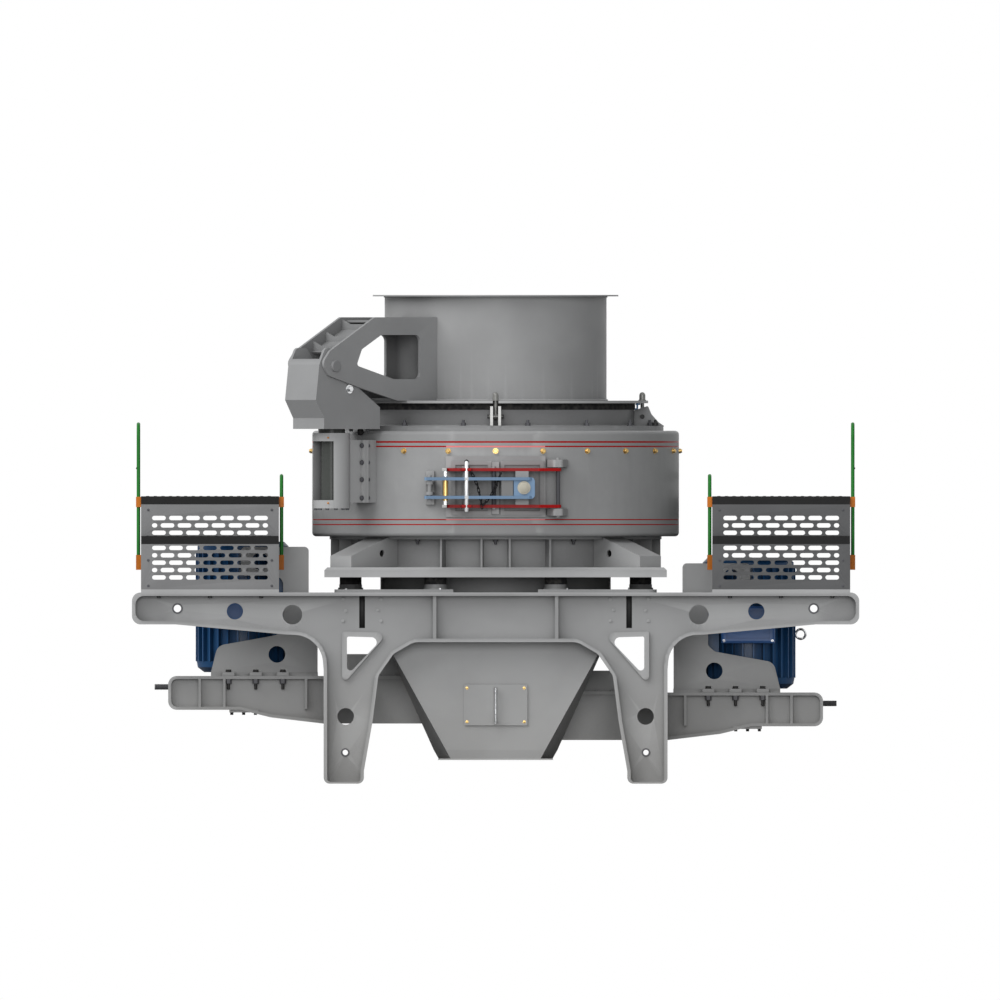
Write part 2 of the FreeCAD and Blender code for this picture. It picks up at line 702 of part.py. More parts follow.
def hinge_bracket():
    """Two pairs of knuckle plates on the drum, with the pin that carries the door."""
    low = DOOR_ARM_LOW - MOVE_GAP
    high = DOOR_ARM_HIGH + DOOR_ARM_THICK + MOVE_GAP
    root = -DRUM_R + LUG_ROOT
    pieces = []
    for z0, z1 in ((low - 48, low), (high, high + 52)):
        shape = [(DOOR_HALF + 12, -DRUM_R + 76, 0), (DOOR_HALF + 12, -DRUM_R - 6, 0), (HINGE_X - 30, HINGE_Y - 30, 26),
                 (HINGE_X + 30, HINGE_Y - 30, 26), (HINGE_X + 64, -DRUM_R + 26, 20), (HINGE_X + 64, root, 0)]
        knuckle = plate_xy(shape, z0, z1)
        pieces.append(knuckle.cut(cylinder(0, 0, z0 - 1, z1 + 1, DRUM_R)))
    pin = cylinder(HINGE_X, HINGE_Y, low - 60, high + 64, HINGE_PIN_R)
    return fuse(pieces + [pin])


def catch_bracket():
    """Lug on the drum whose pin the lever's jaws close round."""
    left = CATCH_X - 26
    right = CATCH_X + 32
    tip = CATCH_Y - 20
    root = -DRUM_R + LUG_ROOT
    plate = [(left, root, 0), (right, root, 0), (CATCH_X + 24, tip, 20), (CATCH_X - 24, tip, 20)]
    pieces = []
    gap = LEVER_LOW + LEVER_THICK + MOVE_GAP
    for z in (gap, LEVER_HIGH - MOVE_GAP - 22):
        pieces.append(plate_xy(plate, z, z + 22))
    back = box(left, right, root - 100, root, LEVER_LOW - 39, LEVER_HIGH + 64)
    body = fuse(pieces + [back]).cut(cylinder(0, 0, 1800, 2300, DRUM_R))
    pin = cylinder(CATCH_X, CATCH_Y, LEVER_LOW - 14, LEVER_HIGH + LEVER_THICK + 14, CATCH_PIN_R)
    return fuse([body, pin])


# Lid-lifting column and arm, drawn along +X and then turned to the front left

def swung(shape):
    return turned(shape, COLUMN_TURN)


def column_housing():
    tube = cylinder(COLUMN_RADIAL, 0, COLUMN_LOW, COLUMN_HIGH, COLUMN_R)
    tube = tube.cut(cylinder(COLUMN_RADIAL, 0, COLUMN_LOW + 14, COLUMN_HIGH + 1, COLUMN_BORE))
    window = box(COLUMN_RADIAL - 60, COLUMN_RADIAL + COLUMN_R + 1, -99, 99, COLUMN_LOW + COLUMN_RING,
                 COLUMN_HIGH - COLUMN_RING)
    return tube.cut(window)


def column_bracket():
    """Welded bracket that bolts the housing to the drum's side."""
    low = COLUMN_LOW + COLUMN_BRACKET_EDGE
    high = low + COLUMN_BRACKET_HIGH
    joint = DRUM_R + 94
    housing = cylinder(COLUMN_RADIAL, 0, low - 1, high + 1, COLUMN_R + PIN_FIT)
    pieces = []
    for y in (-95, 77):
        pieces.append(box(DRUM_R - 30, COLUMN_RADIAL - 40, y, y + 18, low, high))
    for z in (low, high - 20, (low + high) / 2 - 10):
        pieces.append(box(DRUM_R - 30, COLUMN_RADIAL - 60, -95, 95, z, z + 20))
    for x0, x1, half in ((0, 24, 120), (26, 50, 120), (20, 30, 100)):
        pieces.append(box(joint + x0, joint + x1, -half, half, low, high))
    shape = fuse(pieces)
    return shape.cut(housing).cut(cylinder(0, 0, low - 1, high + 1, DRUM_R + PIN_FIT))


def swivel_shaft():
    shaft = cylinder(COLUMN_RADIAL, 0, COLUMN_LOW + 14, COLUMN_HIGH, SHAFT_R)
    collar = cylinder(COLUMN_RADIAL, 0, COLUMN_HIGH, HEAD_Z, COLUMN_BORE)
    seat = cylinder(COLUMN_RADIAL, 0, COLUMN_HIGH - 50, COLUMN_HIGH, COLUMN_BORE - PIN_FIT)
    foot = cylinder(COLUMN_RADIAL, 0, COLUMN_LOW + 14, COLUMN_LOW + 60, COLUMN_BORE - PIN_FIT)
    return fuse([shaft, collar, seat, foot])


def arm_head():
    """Open box on the swivel shaft, with cheeks that carry the arm's pivot."""
    outline = [(-319, 0, 0), (223, 0, 0), (223, 74, 0), (301, 199, 0), (268, 443, 30), (211, 555, 40),
               (111, 555, 30), (-104, 286, 0), (-319, 148, 0)]
    inner = [(-289, 30, 0), (203, 30, 0), (203, 80, 0), (279, 200, 0), (249, 438, 0), (249, 669, 0),
             (11, 669, 0), (-289, 270, 0)]
    half = HEAD_WIDE / 2
    body = plate_xz(outline, -half, half)
    body = body.cut(plate_xz(inner, -half + HEAD_PLATE, half - HEAD_PLATE))
    body = moved(body, COLUMN_RADIAL, 0, HEAD_Z)
    bore = rod((PIVOT_RADIAL, -half - 1, PIVOT_Z), (PIVOT_RADIAL, half + 1, PIVOT_Z), PIVOT_R + PIN_FIT)
    return body.cut(bore)


def arm_rib(radial, top):
    """Cross plate between the arm's sides, dished in the middle of its upper edge."""
    half = ARM_WIDE / 2 - 1
    outline = [(-half, top, 0), (-half, top - ARM_RIB_DEEP, 0), (half, top - ARM_RIB_DEEP, 0), (half, top, 0),
               (half - 90, top - 40, 0), (-half + 90, top - 40, 0)]
    face = rounded_face(outline, lambda p: V(radial, p.x, p.y))
    return face.extrude(V(RIB_THICK, 0, 0))


def lid_arm():
    """Two pierced side plates, tied together, that reach from the head's pivot to the feed tube."""
    x = PIVOT_RADIAL
    z = PIVOT_Z
    top = z + ARM_RISE
    root = TUBE_R - 60
    outline = [(x - 389, top, 0), (root, top, 0), (root, TUBE_Z, 0), (x - 606, TUBE_Z, 0), (x - 278, z - 157, 0),
               (x + 56, z - 67, 30), (x + 118, z + 19, 50), (x + 45, z + 104, 20)]
    opening = [(x - 450, top - 121, 12), (TUBE_R + 145, top - 121, 45), (TUBE_R + 145, z - 90, 45),
               (x - 572, z - 90, 30), (x - 211, z + 4, 20), (x - 262, z + 114, 20)]
    half = ARM_WIDE / 2
    side = plate_xz(outline, half - ARM_PLATE, half).cut(plate_xz(opening, half - ARM_PLATE - 1, half + 1))
    side = side.cut(rod((x, 0, z), (x, half + 1, z), PIVOT_R + PIN_FIT))
    pieces = [side, mirror_y(side)]
    inside = half - 1
    near = TUBE_R + 50
    pieces.append(box(near - 20, near, -inside, inside, TUBE_Z, top))
    pieces.append(box(near, x - 432, -inside, inside, top - 35, top - 19))
    pieces.append(box(near, x - 632, -inside, inside, TUBE_Z, TUBE_Z + 18))
    pieces.append(rod((x - 522, -inside, top - 75), (x - 522, inside, top - 75), 22))
    floor = [(x - 432, top - 75, 0), (x - 418, top - 75, 0), (x - 102, z + 94, 0), (x - 116, z + 94, 0)]
    pieces.append(plate_xz(floor, -inside, inside))
    pieces += [arm_rib(x - inward, z + rise) for inward, rise in ARM_RIBS]
    arm = fuse(pieces)
    return arm.cut(cylinder(0, 0, TUBE_Z - 1, TUBE_TOP, TUBE_R + PIN_FIT))


def pivot_pin():
    half = ARM_WIDE / 2 + 16
    return rod((PIVOT_RADIAL, -half, PIVOT_Z), (PIVOT_RADIAL, half, PIVOT_Z), PIVOT_R)


def lift_jack():
    """Screw jack in the head that pushes the arm's heel up."""
    half = HEAD_WIDE / 2 + 3
    neck = HEAD_Z + 180
    body = cylinder(JACK_RADIAL, 0, HEAD_Z + 30, neck, JACK_R)
    screw = cylinder(JACK_RADIAL, 0, neck, neck + 150, JACK_R / 2)
    crown = rod((JACK_RADIAL, -half, neck + 130), (JACK_RADIAL, half, neck + 130), 26)
    return fuse([body, screw, crown])


# Drives, drawn on the +X side

def motor_seat():
    """Two side plates with flanges, a top plate and end plates, tied to the legs."""
    top = SEAT_TOP
    low = SEAT_TOP - SEAT_DEEP
    root = LEG_OUT - 28
    band_thick = 21.0
    outline = [(root, top, 0), (SEAT_OUT, top, 59), (SEAT_OUT, low, 59), (1750, low, 0), (1540, low - 52, 0),
               (root, low - 98, 0)]
    end = SEAT_OUT - band_thick
    inner = [(LEG_OUT - 50, top - band_thick, 0), (end, top - band_thick, 40), (end, low + band_thick, 40),
             (1748, low + band_thick, 0), (1538, low - 31, 0), (LEG_OUT - 50, low - 77, 0)]
    flange_half = 55.0
    pieces = []
    for y in (-SEAT_HALF, SEAT_HALF):
        band = plate_xz(outline, y - flange_half, y + flange_half)
        pieces.append(band.cut(plate_xz(inner, y - flange_half - 1, y + flange_half + 1)))
        pieces.append(plate_xz(outline, y - SEAT_PLATE / 2, y + SEAT_PLATE / 2))
        for x in (1290, 1850, 2018):
            pieces.append(box(x, x + 18, y - flange_half, y + flange_half, low + 5, top - 5))
        to_frame = y * FRAME_INNER / SEAT_HALF
        pieces.append(box(root, LEG_OUT, min(y, to_frame), max(y, to_frame), low - 90, top))
    near = SEAT_HALF - flange_half
    for x0, x1 in ((BRACKET_IN - 10, BRACKET_IN + 160), (BRACKET_OUT - 160, BRACKET_OUT + 20)):
        pieces.append(box(x0, x1, -near, near, top - band_thick, top))
    pieces.append(box(2150, 2170, -SEAT_HALF, SEAT_HALF, low + 50, top - 30))
    return fuse(pieces + [tension_rod()])


def tension_rod():
    """Threaded rod in the seat's end that slides the motor to tighten the belts."""
    z = SEAT_TOP - 75
    shaft = rod((2160, 0, z), (2336, 0, z), 18)
    nut = rod((2165, 0, z), (2197, 0, z), 30)
    return shaft.fuse(nut).removeSplitter()


def motor_bracket():
    base = SEAT_TOP + BRACKET_BASE
    half = CHEEK_Y + CHEEK_THICK / 2
    pieces = [box(BRACKET_IN, BRACKET_OUT, -half - 60, half + 60, SEAT_TOP, base)]
    x0 = MOUNT_PLATE_X
    x1 = x0 + MOUNT_PLATE_THICK
    top = 1623.0
    pieces.append(box(x0, x1, -half, half, base - 2, top))
    outline = [(x0 + 2, base - 2, 0), (BRACKET_OUT, base - 2, 0), (1905, 945, 70), (1500, 1018, 60),
               (1455, 1060, 30), (1455, 1395, 60), (1500, 1425, 60), (1744, 1425, 30), (1744, top, 31),
               (x0 + 2, top, 0)]
    cheek = plate_xz(outline, -half, -half + CHEEK_THICK)
    for x, z, r in ((1498, 886, 57), (1614, 1524, 58)):
        cheek = cheek.cut(rod((x, -half - 1, z), (x, -half + CHEEK_THICK + 1, z), r))
    pieces += [cheek, mirror_y(cheek)]
    foot = BRACKET_IN + 2
    back = BRACKET_BACK
    gusset = [(x0 + 2, base - 2, 0), (x0 + 2, top, 0), (back, top, 30), (back, 1250, 40), (foot, 1100, 40),
              (foot, base - 2, 0)]
    rib = plate_xz(gusset, -half, -half + CHEEK_THICK)
    pieces += [rib, mirror_y(rib)]
    well = cylinder(MOTOR_X, 0, SEAT_TOP - 1, base + 1, SHAFT_WELL_R)
    return fuse(pieces).cut(well)


def motor():
    """Totally enclosed vertical motor: finned frame, foot pads, end bells and fan cowl."""
    x = MOTOR_X
    pieces = [cylinder(x, 0, MOTOR_FIN_LOW, MOTOR_FIN_HIGH, MOTOR_CORE_R)]
    bell = [(0, MOTOR_LOW), (MOTOR_R - 60, MOTOR_LOW), (MOTOR_R - 16, MOTOR_LOW + 34),
            (MOTOR_R - 8, MOTOR_FIN_LOW), (0, MOTOR_FIN_LOW)]
    cowl = [(0, MOTOR_FIN_HIGH), (MOTOR_R - 14, MOTOR_FIN_HIGH), (MOTOR_R - 14, MOTOR_TOP - 30),
            (MOTOR_R - 44, MOTOR_TOP), (0, MOTOR_TOP)]
    for profile in (bell, cowl):
        face = Part.Face(Part.makePolygon([V(r, 0, z) for r, z in profile + profile[:1]]))
        pieces.append(moved(face.revolve(V(0, 0, 0), UP, 360), x, 0, 0))
    for i in range(FIN_COUNT):
        angle = 360.0 * (i + 0.5) / FIN_COUNT
        if abs(angle - 180) > 30:
            fin = box(MOTOR_CORE_R - 8, MOTOR_R, -FIN_THICK / 2, FIN_THICK / 2, MOTOR_FIN_LOW, MOTOR_FIN_HIGH)
            pieces.append(moved(turned(fin, angle), x, 0, 0))
    foot = box(MOUNT_PLATE_X + MOUNT_PLATE_THICK, x - 200, -250, 250, 960, 1480)
    slot = box(MOUNT_PLATE_X, x - 240, -170, 170, 900, 1500)
    pieces.append(foot.cut(slot).cut(cylinder(x, 0, 900, 1500, MOTOR_CORE_R - 10)))
    shaft = cylinder(x, 0, MOTOR_LOW - 50, MOTOR_LOW, 55)
    return fuse(pieces + [shaft])


def terminal_box():
    x = MOTOR_X
    body = box(x - 184, x + 184, -MOTOR_R - 104, -MOTOR_R + 20, 1075, 1330)
    body = body.makeFillet(18, [e for e in body.Edges if abs(e.CenterOfMass.y + MOTOR_R + 104) < 1])
    recess = box(x - 150, x + 150, -MOTOR_R - 110, -MOTOR_R - 92, 1105, 1300)
    return body.cut(recess).cut(cylinder(x, 0, 1000, 1400, MOTOR_R + PIN_FIT))


def belt_guard(lid_z):
    """Box round the belts from the drum's axis to the motor, with the lip between its halves."""
    leg = LEG_OUT - 29
    low = SEAT_TOP - SEAT_DEEP + 20
    high = SEAT_TOP - 22
    shape = [(0, GUARD_LOW, 0), (leg, GUARD_LOW, 0), (leg, low, 0), (2150, low, 60), (2150, high, 60),
             (leg, high, 0), (leg, GUARD_TOP, 0), (0, GUARD_TOP, 0)]
    body = plate_xz(shape, -GUARD_HALF + GUARD_LIP, GUARD_HALF - GUARD_LIP)
    lip = box(0, leg, -GUARD_HALF, GUARD_HALF, lid_z, lid_z + GUARD_LIP)
    well = cylinder(MOTOR_X, 0, SEAT_TOP - 90, SEAT_TOP, SHAFT_WELL_R)
    return body.fuse(lip).removeSplitter().cut(well)


# Discharge chutes

def chute_corners(front_half, back_half, front_y, back_y, inset):
    return [(-front_half + inset, front_y + inset), (front_half - inset, front_y + inset),
            (back_half - inset, back_y - inset), (-back_half + inset, back_y - inset)]


def chute_body(inset):
    top = chute_corners(CHUTE_TOP_HALF, CHUTE_TOP_HALF, -FRAME_INNER, -GUARD_HALF, inset)
    knee = chute_corners(704, CHUTE_TOP_HALF, -FRAME_INNER, -GUARD_HALF, inset)
    neck = chute_corners(340, 424, -FRAME_INNER + CHUTE_LEAN, -GUARD_HALF, inset)
    foot = chute_corners(CHUTE_FOOT_FRONT, CHUTE_FOOT_BACK, -FRAME_INNER + 40, -GUARD_HALF, inset)
    levels = [(CHUTE_LOW, foot), (CHUTE_NECK_Z, neck), (CHUTE_KNEE_Z, knee), (SKIRT_LOW, top)]
    solids = []
    for (z0, lower), (z1, upper) in zip(levels, levels[1:]):
        solids.append(lofted(lower, upper, z0, z1))
    return fuse(solids)


def discharge_chute():
    outer = chute_body(0)
    inner = chute_body(CHUTE_WALL)
    mouth_top = box(-600, 600, -FRAME_INNER + 40, -GUARD_HALF - CHUTE_WALL, SKIRT_LOW - 1, SKIRT_LOW + 1)
    inner = inner.fuse(mouth_top)
    body = outer.cut(inner)
    lip = box(-394, 394, -FRAME_INNER + 26, -GUARD_HALF, CHUTE_LOW, CHUTE_LOW + 10)
    mouth = box(-288, 288, -FRAME_INNER + 54, -GUARD_HALF - 14, CHUTE_LOW - 1, CHUTE_LOW + 11)
    roof = box(-CHUTE_TOP_HALF, CHUTE_TOP_HALF, -FRAME_INNER, -GUARD_HALF, SKIRT_LOW - 12, SKIRT_LOW)
    roof = roof.cut(cylinder(0, 0, SKIRT_LOW - 20, SKIRT_LOW + 9, SKIRT_R - SKIRT_WALL))
    return fuse([body.cut(mouth), lip.cut(mouth), roof])


def on_chute_front(shape):
    """Tips a piece drawn upright at y = 0 onto the chute's sloping front face."""
    tip = math.degrees(math.atan2(CHUTE_LEAN, CHUTE_KNEE_Z - CHUTE_NECK_Z))
    copy = shape.copy()
    copy.rotate(V(0, 0, CHUTE_NECK_Z), V(1, 0, 0), tip)
    copy.translate(V(0, -FRAME_INNER + CHUTE_LEAN, 0))
    return copy


def chute_cover():
    """Inspection cover with its bar handle."""
    half = COVER_HALF
    outline = [(-half, COVER_LOW, 8), (half, COVER_LOW, 8), (half, COVER_HIGH, 8), (-half, COVER_HIGH, 8)]
    body = plate_xz(outline, -COVER_THICK, 0)
    front = -COVER_THICK - 40
    grip = rod((0, front, COVER_LOW + 14), (0, front, COVER_HIGH - 20), 9)
    ends = [rod((0, front, z), (0, -COVER_THICK + 2, z), 8) for z in (COVER_LOW + 33, COVER_HIGH - 39)]
    return on_chute_front(fuse([body, grip] + ends))


# Step platforms, drawn on the +X side

def riser(y, z0, z1, first_row, row_count):
    """Sheet riser with staggered rows of slots; every other row ends in half slots."""
    sheet = box(STEP_IN, STEP_OUT, y, y + SHEET, z0, z1)
    middle = (STEP_IN + STEP_OUT) / 2
    half = SLOT_LONG / 2
    reach = SLOT_PITCH * (SLOT_COUNT - 1) / 2 + half
    cutters = []
    for row in range(row_count):
        z_low = first_row - row * SLOT_ROW - SLOT_HIGH / 2
        count = SLOT_COUNT + row % 2
        for i in range(count):
            x = (i - (count - 1) / 2) * SLOT_PITCH
            x0 = middle + max(x - half, -reach)
            x1 = middle + min(x + half, reach)
            cutters.append(box(x0, x1, y - 1, y + SHEET + 1, z_low, z_low + SLOT_HIGH))
    return sheet.cut(Part.makeCompound(cutters))


def lower_riser():
    return riser(-STEP_FRONT, STEP_BASE, TREAD_Z - NOSING, LOWER_FIRST_ROW, LOWER_ROWS)


def upper_riser():
    return riser(-UPPER_Y, TREAD_Z, DECK_Z - NOSING, UPPER_FIRST_ROW, UPPER_ROWS)


def step_tread():
    return box(STEP_IN, STEP_OUT, -STEP_FRONT, -UPPER_Y + SHEET, TREAD_Z - NOSING, TREAD_Z)


def step_deck():
    return box(STEP_IN, STEP_OUT, -UPPER_Y, UPPER_Y, DECK_Z - NOSING, DECK_Z)


def step_sides():
    """Stepped end plates under the treads and the deck, one pair at each end of the unit."""
    open_half = 640.0
    outline = [(STEP_FRONT - SHEET, STEP_BASE, 0), (STEP_FRONT - SHEET, TREAD_Z - NOSING, 0),
               (UPPER_Y - SHEET, TREAD_Z - NOSING, 0), (UPPER_Y - SHEET, DECK_Z - NOSING, 0),
               (open_half, DECK_Z - NOSING, 0), (open_half, STEP_BASE, 0)]
    pieces = []
    for x0 in (STEP_IN, STEP_OUT - 30):
        plate = rounded_face(outline, lambda p: V(x0, p.x, p.y)).extrude(V(30, 0, 0))
        pieces += [plate, mirror_y(plate)]
    return Part.makeCompound(pieces)


def step_strips():
    strips = [box(STEP_IN, STEP_OUT, y0, y1, ARM_TOP, STEP_BASE) for y0, y1 in (
        (-STEP_FRONT, -FRAME_INNER), (FRAME_INNER, STEP_FRONT))]
    return Part.makeCompound(strips)


def side_rail(x, middle, high, centre_post):
    """Guard rail: a tube bent down at both ends, with a knee rail and perhaps a post on the deck's edge."""
    low = RAIL_LOW
    half = RAIL_HALF
    hoop = [(-half, low, 0), (-half, high, RAIL_BEND), (half, high, RAIL_BEND), (half, low, 0)]
    path = rounded_face(hoop, lambda p: V(x, p.x, p.y)).OuterWire
    run = Part.Wire([e for e in path.Edges if e.CenterOfMass.z > low + 1])
    circle = Part.Wire([Part.Circle(V(x, -half, low), UP, RAIL_R).toShape()])
    knee = rod((x, -half, middle), (x, half, middle), RAIL_R * 0.8)
    pieces = [run.makePipeShell([circle], True, False), knee]
    if centre_post:
        pieces.append(cylinder(x, 0, CLAMP_LOW, high, RAIL_R * 0.98))
    return fuse(pieces)


def rail_holder(x_face, side, y, z0, z1):
    """Socket or clamp round a post, fixed to the step unit's side."""
    x = x_face + side * RAIL_OFF
    block = box(min(x_face, x + side * 17), max(x_face, x + side * 17), y - 24, y + 24, z0, z1)
    return block.cut(cylinder(x, y, max(z0 - 1, RAIL_LOW), z1 + 1, RAIL_R + PIN_FIT))


def rail_sockets():
    solids = []
    for x_face, side in ((STEP_OUT, 1), (STEP_IN, -1)):
        for y in (-RAIL_HALF, RAIL_HALF):
            solids.append(rail_holder(x_face, side, y, RAIL_LOW - 80, RAIL_LOW + 22))
            solids.append(rail_holder(x_face, side, y, CLAMP_LOW, CLAMP_LOW + 70))
    solids.append(rail_holder(STEP_OUT, 1, 0, CLAMP_LOW, CLAMP_LOW + 70))
    return Part.makeCompound(solids)


def both_sides(shape):
    return Part.makeCompound([shape, mirror_x(shape)])


def both_ends(shape):
    return both_sides(Part.makeCompound([shape, mirror_y(shape)]))


def right_drive(shape):
    return moved(shape, 0, 0, -DRIVE_DROP)


def main():
    nodes = {}
    frame = side_frame()
    nodes["side_frame_front"] = frame
    nodes["side_frame_back"] = mirror_y(frame)
    nodes["cross_beams"] = both_sides(cross_beam())
    nodes["corner_pads"] = corner_pads()
    nodes["mount_cups"] = on_mounts(mount_cup)
    nodes["rubber_mounts"] = on_mounts(rubber_block)
    nodes["support_platform"] = support_platform()
    nodes["lower_skirt"] = lower_skirt()
    nodes["support_ring"] = support_ring()
    nodes["corner_arms"] = corner_arms()
    nodes["drum_wall_back"] = drum_sector(45, 135)
    nodes["drum_wall_left"] = drum_sector(135, 270 - DOORWAY_ANGLE)
    nodes["drum_wall_right"] = drum_sector(270 + DOORWAY_ANGLE, 405)
    sill = door_panel(DRUM_Z, DOOR_LOW + DOORWAY_EDGE)
    head = door_panel(DOOR_HIGH - DOORWAY_EDGE, DRUM_TOP)
    nodes["doorway_panels"] = Part.makeCompound([sill, head])
    nodes["drum_floor"] = disc(DRUM_Z, DRUM_R - DRUM_WALL, SKIRT_R - SKIRT_WALL)
    nodes["drum_top"] = disc(DRUM_TOP - DRUM_PLATE, DRUM_R - DRUM_WALL, TUBE_R)
    nodes["drum_studs"] = drum_studs()
    nodes["rotor"] = rotor()
    nodes["bearing_cartridge"] = bearing_cartridge()
    nodes["upper_ring"] = upper_ring()
    nodes["swing_bolts"] = swing_bolts()
    nodes["seal_band"] = seal_band()
    nodes["lid_plate"] = lid_plate()
    nodes["feed_tube"] = feed_tube()
    nodes["feed_cone"] = feed_cone()
    nodes["door_leaf"] = door_leaf()
    nodes["door_arms"] = door_arms()
    nodes["door_lever"] = door_lever()
    nodes["hinge_bracket"] = hinge_bracket()
    nodes["catch_bracket"] = catch_bracket()
    nodes["column_housing"] = swung(column_housing())
    nodes["column_bracket"] = swung(column_bracket())
    nodes["swivel_shaft"] = swung(swivel_shaft())
    nodes["arm_head"] = swung(arm_head())
    nodes["lid_arm"] = swung(lid_arm())
    nodes["pivot_and_jack"] = Part.makeCompound([swung(pivot_pin()), swung(lift_jack())])
    lips = {"left": SEAT_TOP - 21, "right": SEAT_TOP - 14}
    for name, shape in (
        ("motor_seat", motor_seat()),
        ("motor_bracket", motor_bracket()),
        ("motor", motor()),
    ):
        nodes[name + "_right"] = right_drive(shape)
        nodes[name + "_left"] = mirror_x(shape)
    nodes["terminal_boxes"] = Part.makeCompound([right_drive(terminal_box()), mirror_x(terminal_box())])
    nodes["belt_guard_left"] = mirror_x(belt_guard(lips["left"]))
    nodes["belt_guard_right"] = right_drive(belt_guard(lips["right"]))
    nodes["discharge_chute_front"] = discharge_chute()
    nodes["discharge_chute_back"] = mirror_y(discharge_chute())
    nodes["chute_covers"] = Part.makeCompound([chute_cover(), mirror_y(chute_cover())])
    nodes["lower_risers"] = both_ends(lower_riser())
    nodes["upper_risers"] = both_ends(upper_riser())
    nodes["step_treads"] = both_ends(step_tread())
    rails = Part.makeCompound([
        side_rail(STEP_OUT + RAIL_OFF, OUTER_RAIL_MID, OUTER_RAIL_HIGH, True),
        side_rail(STEP_IN - RAIL_OFF, INNER_RAIL_MID, INNER_RAIL_HIGH, False),
    ])
    nodes["rail_sockets"] = both_sides(rail_sockets())
    for name, shape in (
        ("step_deck", step_deck()),
        ("step_sides", step_sides()),
        ("guard_rails", rails),
    ):
        nodes[name + "_right"] = shape
        nodes[name + "_left"] = mirror_x(shape)
    nodes["step_strips"] = both_sides(step_strips())
    os.makedirs("parts", exist_ok=True)
    for name, shape in nodes.items():
        shape.exportStep("parts/" + name + ".step")
        print(name, len(shape.Solids), shape.isValid(), round(shape.Volume / 1e6, 1))
    print(len(nodes), "nodes")


main()
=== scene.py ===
import math

import bmesh
import bpy
from mathutils import Matrix, Vector


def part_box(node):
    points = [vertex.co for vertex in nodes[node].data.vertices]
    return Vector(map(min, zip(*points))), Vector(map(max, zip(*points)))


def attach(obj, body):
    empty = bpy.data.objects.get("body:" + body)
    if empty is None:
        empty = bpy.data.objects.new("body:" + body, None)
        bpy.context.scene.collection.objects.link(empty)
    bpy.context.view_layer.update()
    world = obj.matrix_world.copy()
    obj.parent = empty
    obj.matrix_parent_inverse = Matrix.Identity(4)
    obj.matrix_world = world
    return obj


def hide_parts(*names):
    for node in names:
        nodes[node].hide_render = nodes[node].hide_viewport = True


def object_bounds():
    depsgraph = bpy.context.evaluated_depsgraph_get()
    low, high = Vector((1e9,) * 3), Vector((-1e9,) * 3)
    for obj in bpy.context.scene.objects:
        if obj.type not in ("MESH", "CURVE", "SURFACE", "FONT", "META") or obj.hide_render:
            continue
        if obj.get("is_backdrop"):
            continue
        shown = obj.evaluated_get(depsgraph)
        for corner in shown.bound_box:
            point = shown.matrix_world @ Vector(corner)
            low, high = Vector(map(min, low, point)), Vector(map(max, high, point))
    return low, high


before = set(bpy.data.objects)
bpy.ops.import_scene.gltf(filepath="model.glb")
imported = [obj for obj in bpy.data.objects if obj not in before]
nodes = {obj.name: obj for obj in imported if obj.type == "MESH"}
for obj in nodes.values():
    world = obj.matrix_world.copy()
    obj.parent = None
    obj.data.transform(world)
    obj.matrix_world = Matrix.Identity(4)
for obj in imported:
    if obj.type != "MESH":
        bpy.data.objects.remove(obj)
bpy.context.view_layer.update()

# Side frames
# Two welded frames of thick plate with flanges, legs and long arms carry everything.
# They are blasted and sprayed in a satin mid-grey machine paint, a little dusty towards the feet.


class Socket:
    """A shader socket that can be used in an expression."""

    def __init__(self, finish, link):
        self.finish = finish
        self.link = link

    def math(self, operation, first, second):
        return self.finish.node("Math", {"operation": operation}, {0: first, 1: second})["Value"]

    def __add__(self, other):
        return self.math("ADD", self, other)

    def __radd__(self, other):
        return self.math("ADD", other, self)

    def __sub__(self, other):
        return self.math("SUBTRACT", self, other)

    def __rsub__(self, other):
        return self.math("SUBTRACT", other, self)

    def __mul__(self, other):
        return self.math("MULTIPLY", self, other)

    def __rmul__(self, other):
        return self.math("MULTIPLY", other, self)

    def __gt__(self, other):
        return self.math("GREATER_THAN", self, other)

    def __lt__(self, other):
        return self.math("LESS_THAN", self, other)


class Node:
    """A shader node whose outputs are read by name as sockets."""

    def __init__(self, finish, node):
        self.finish = finish
        self.node = node

    def __getitem__(self, name):
        return Socket(self.finish, self.node.outputs[name])


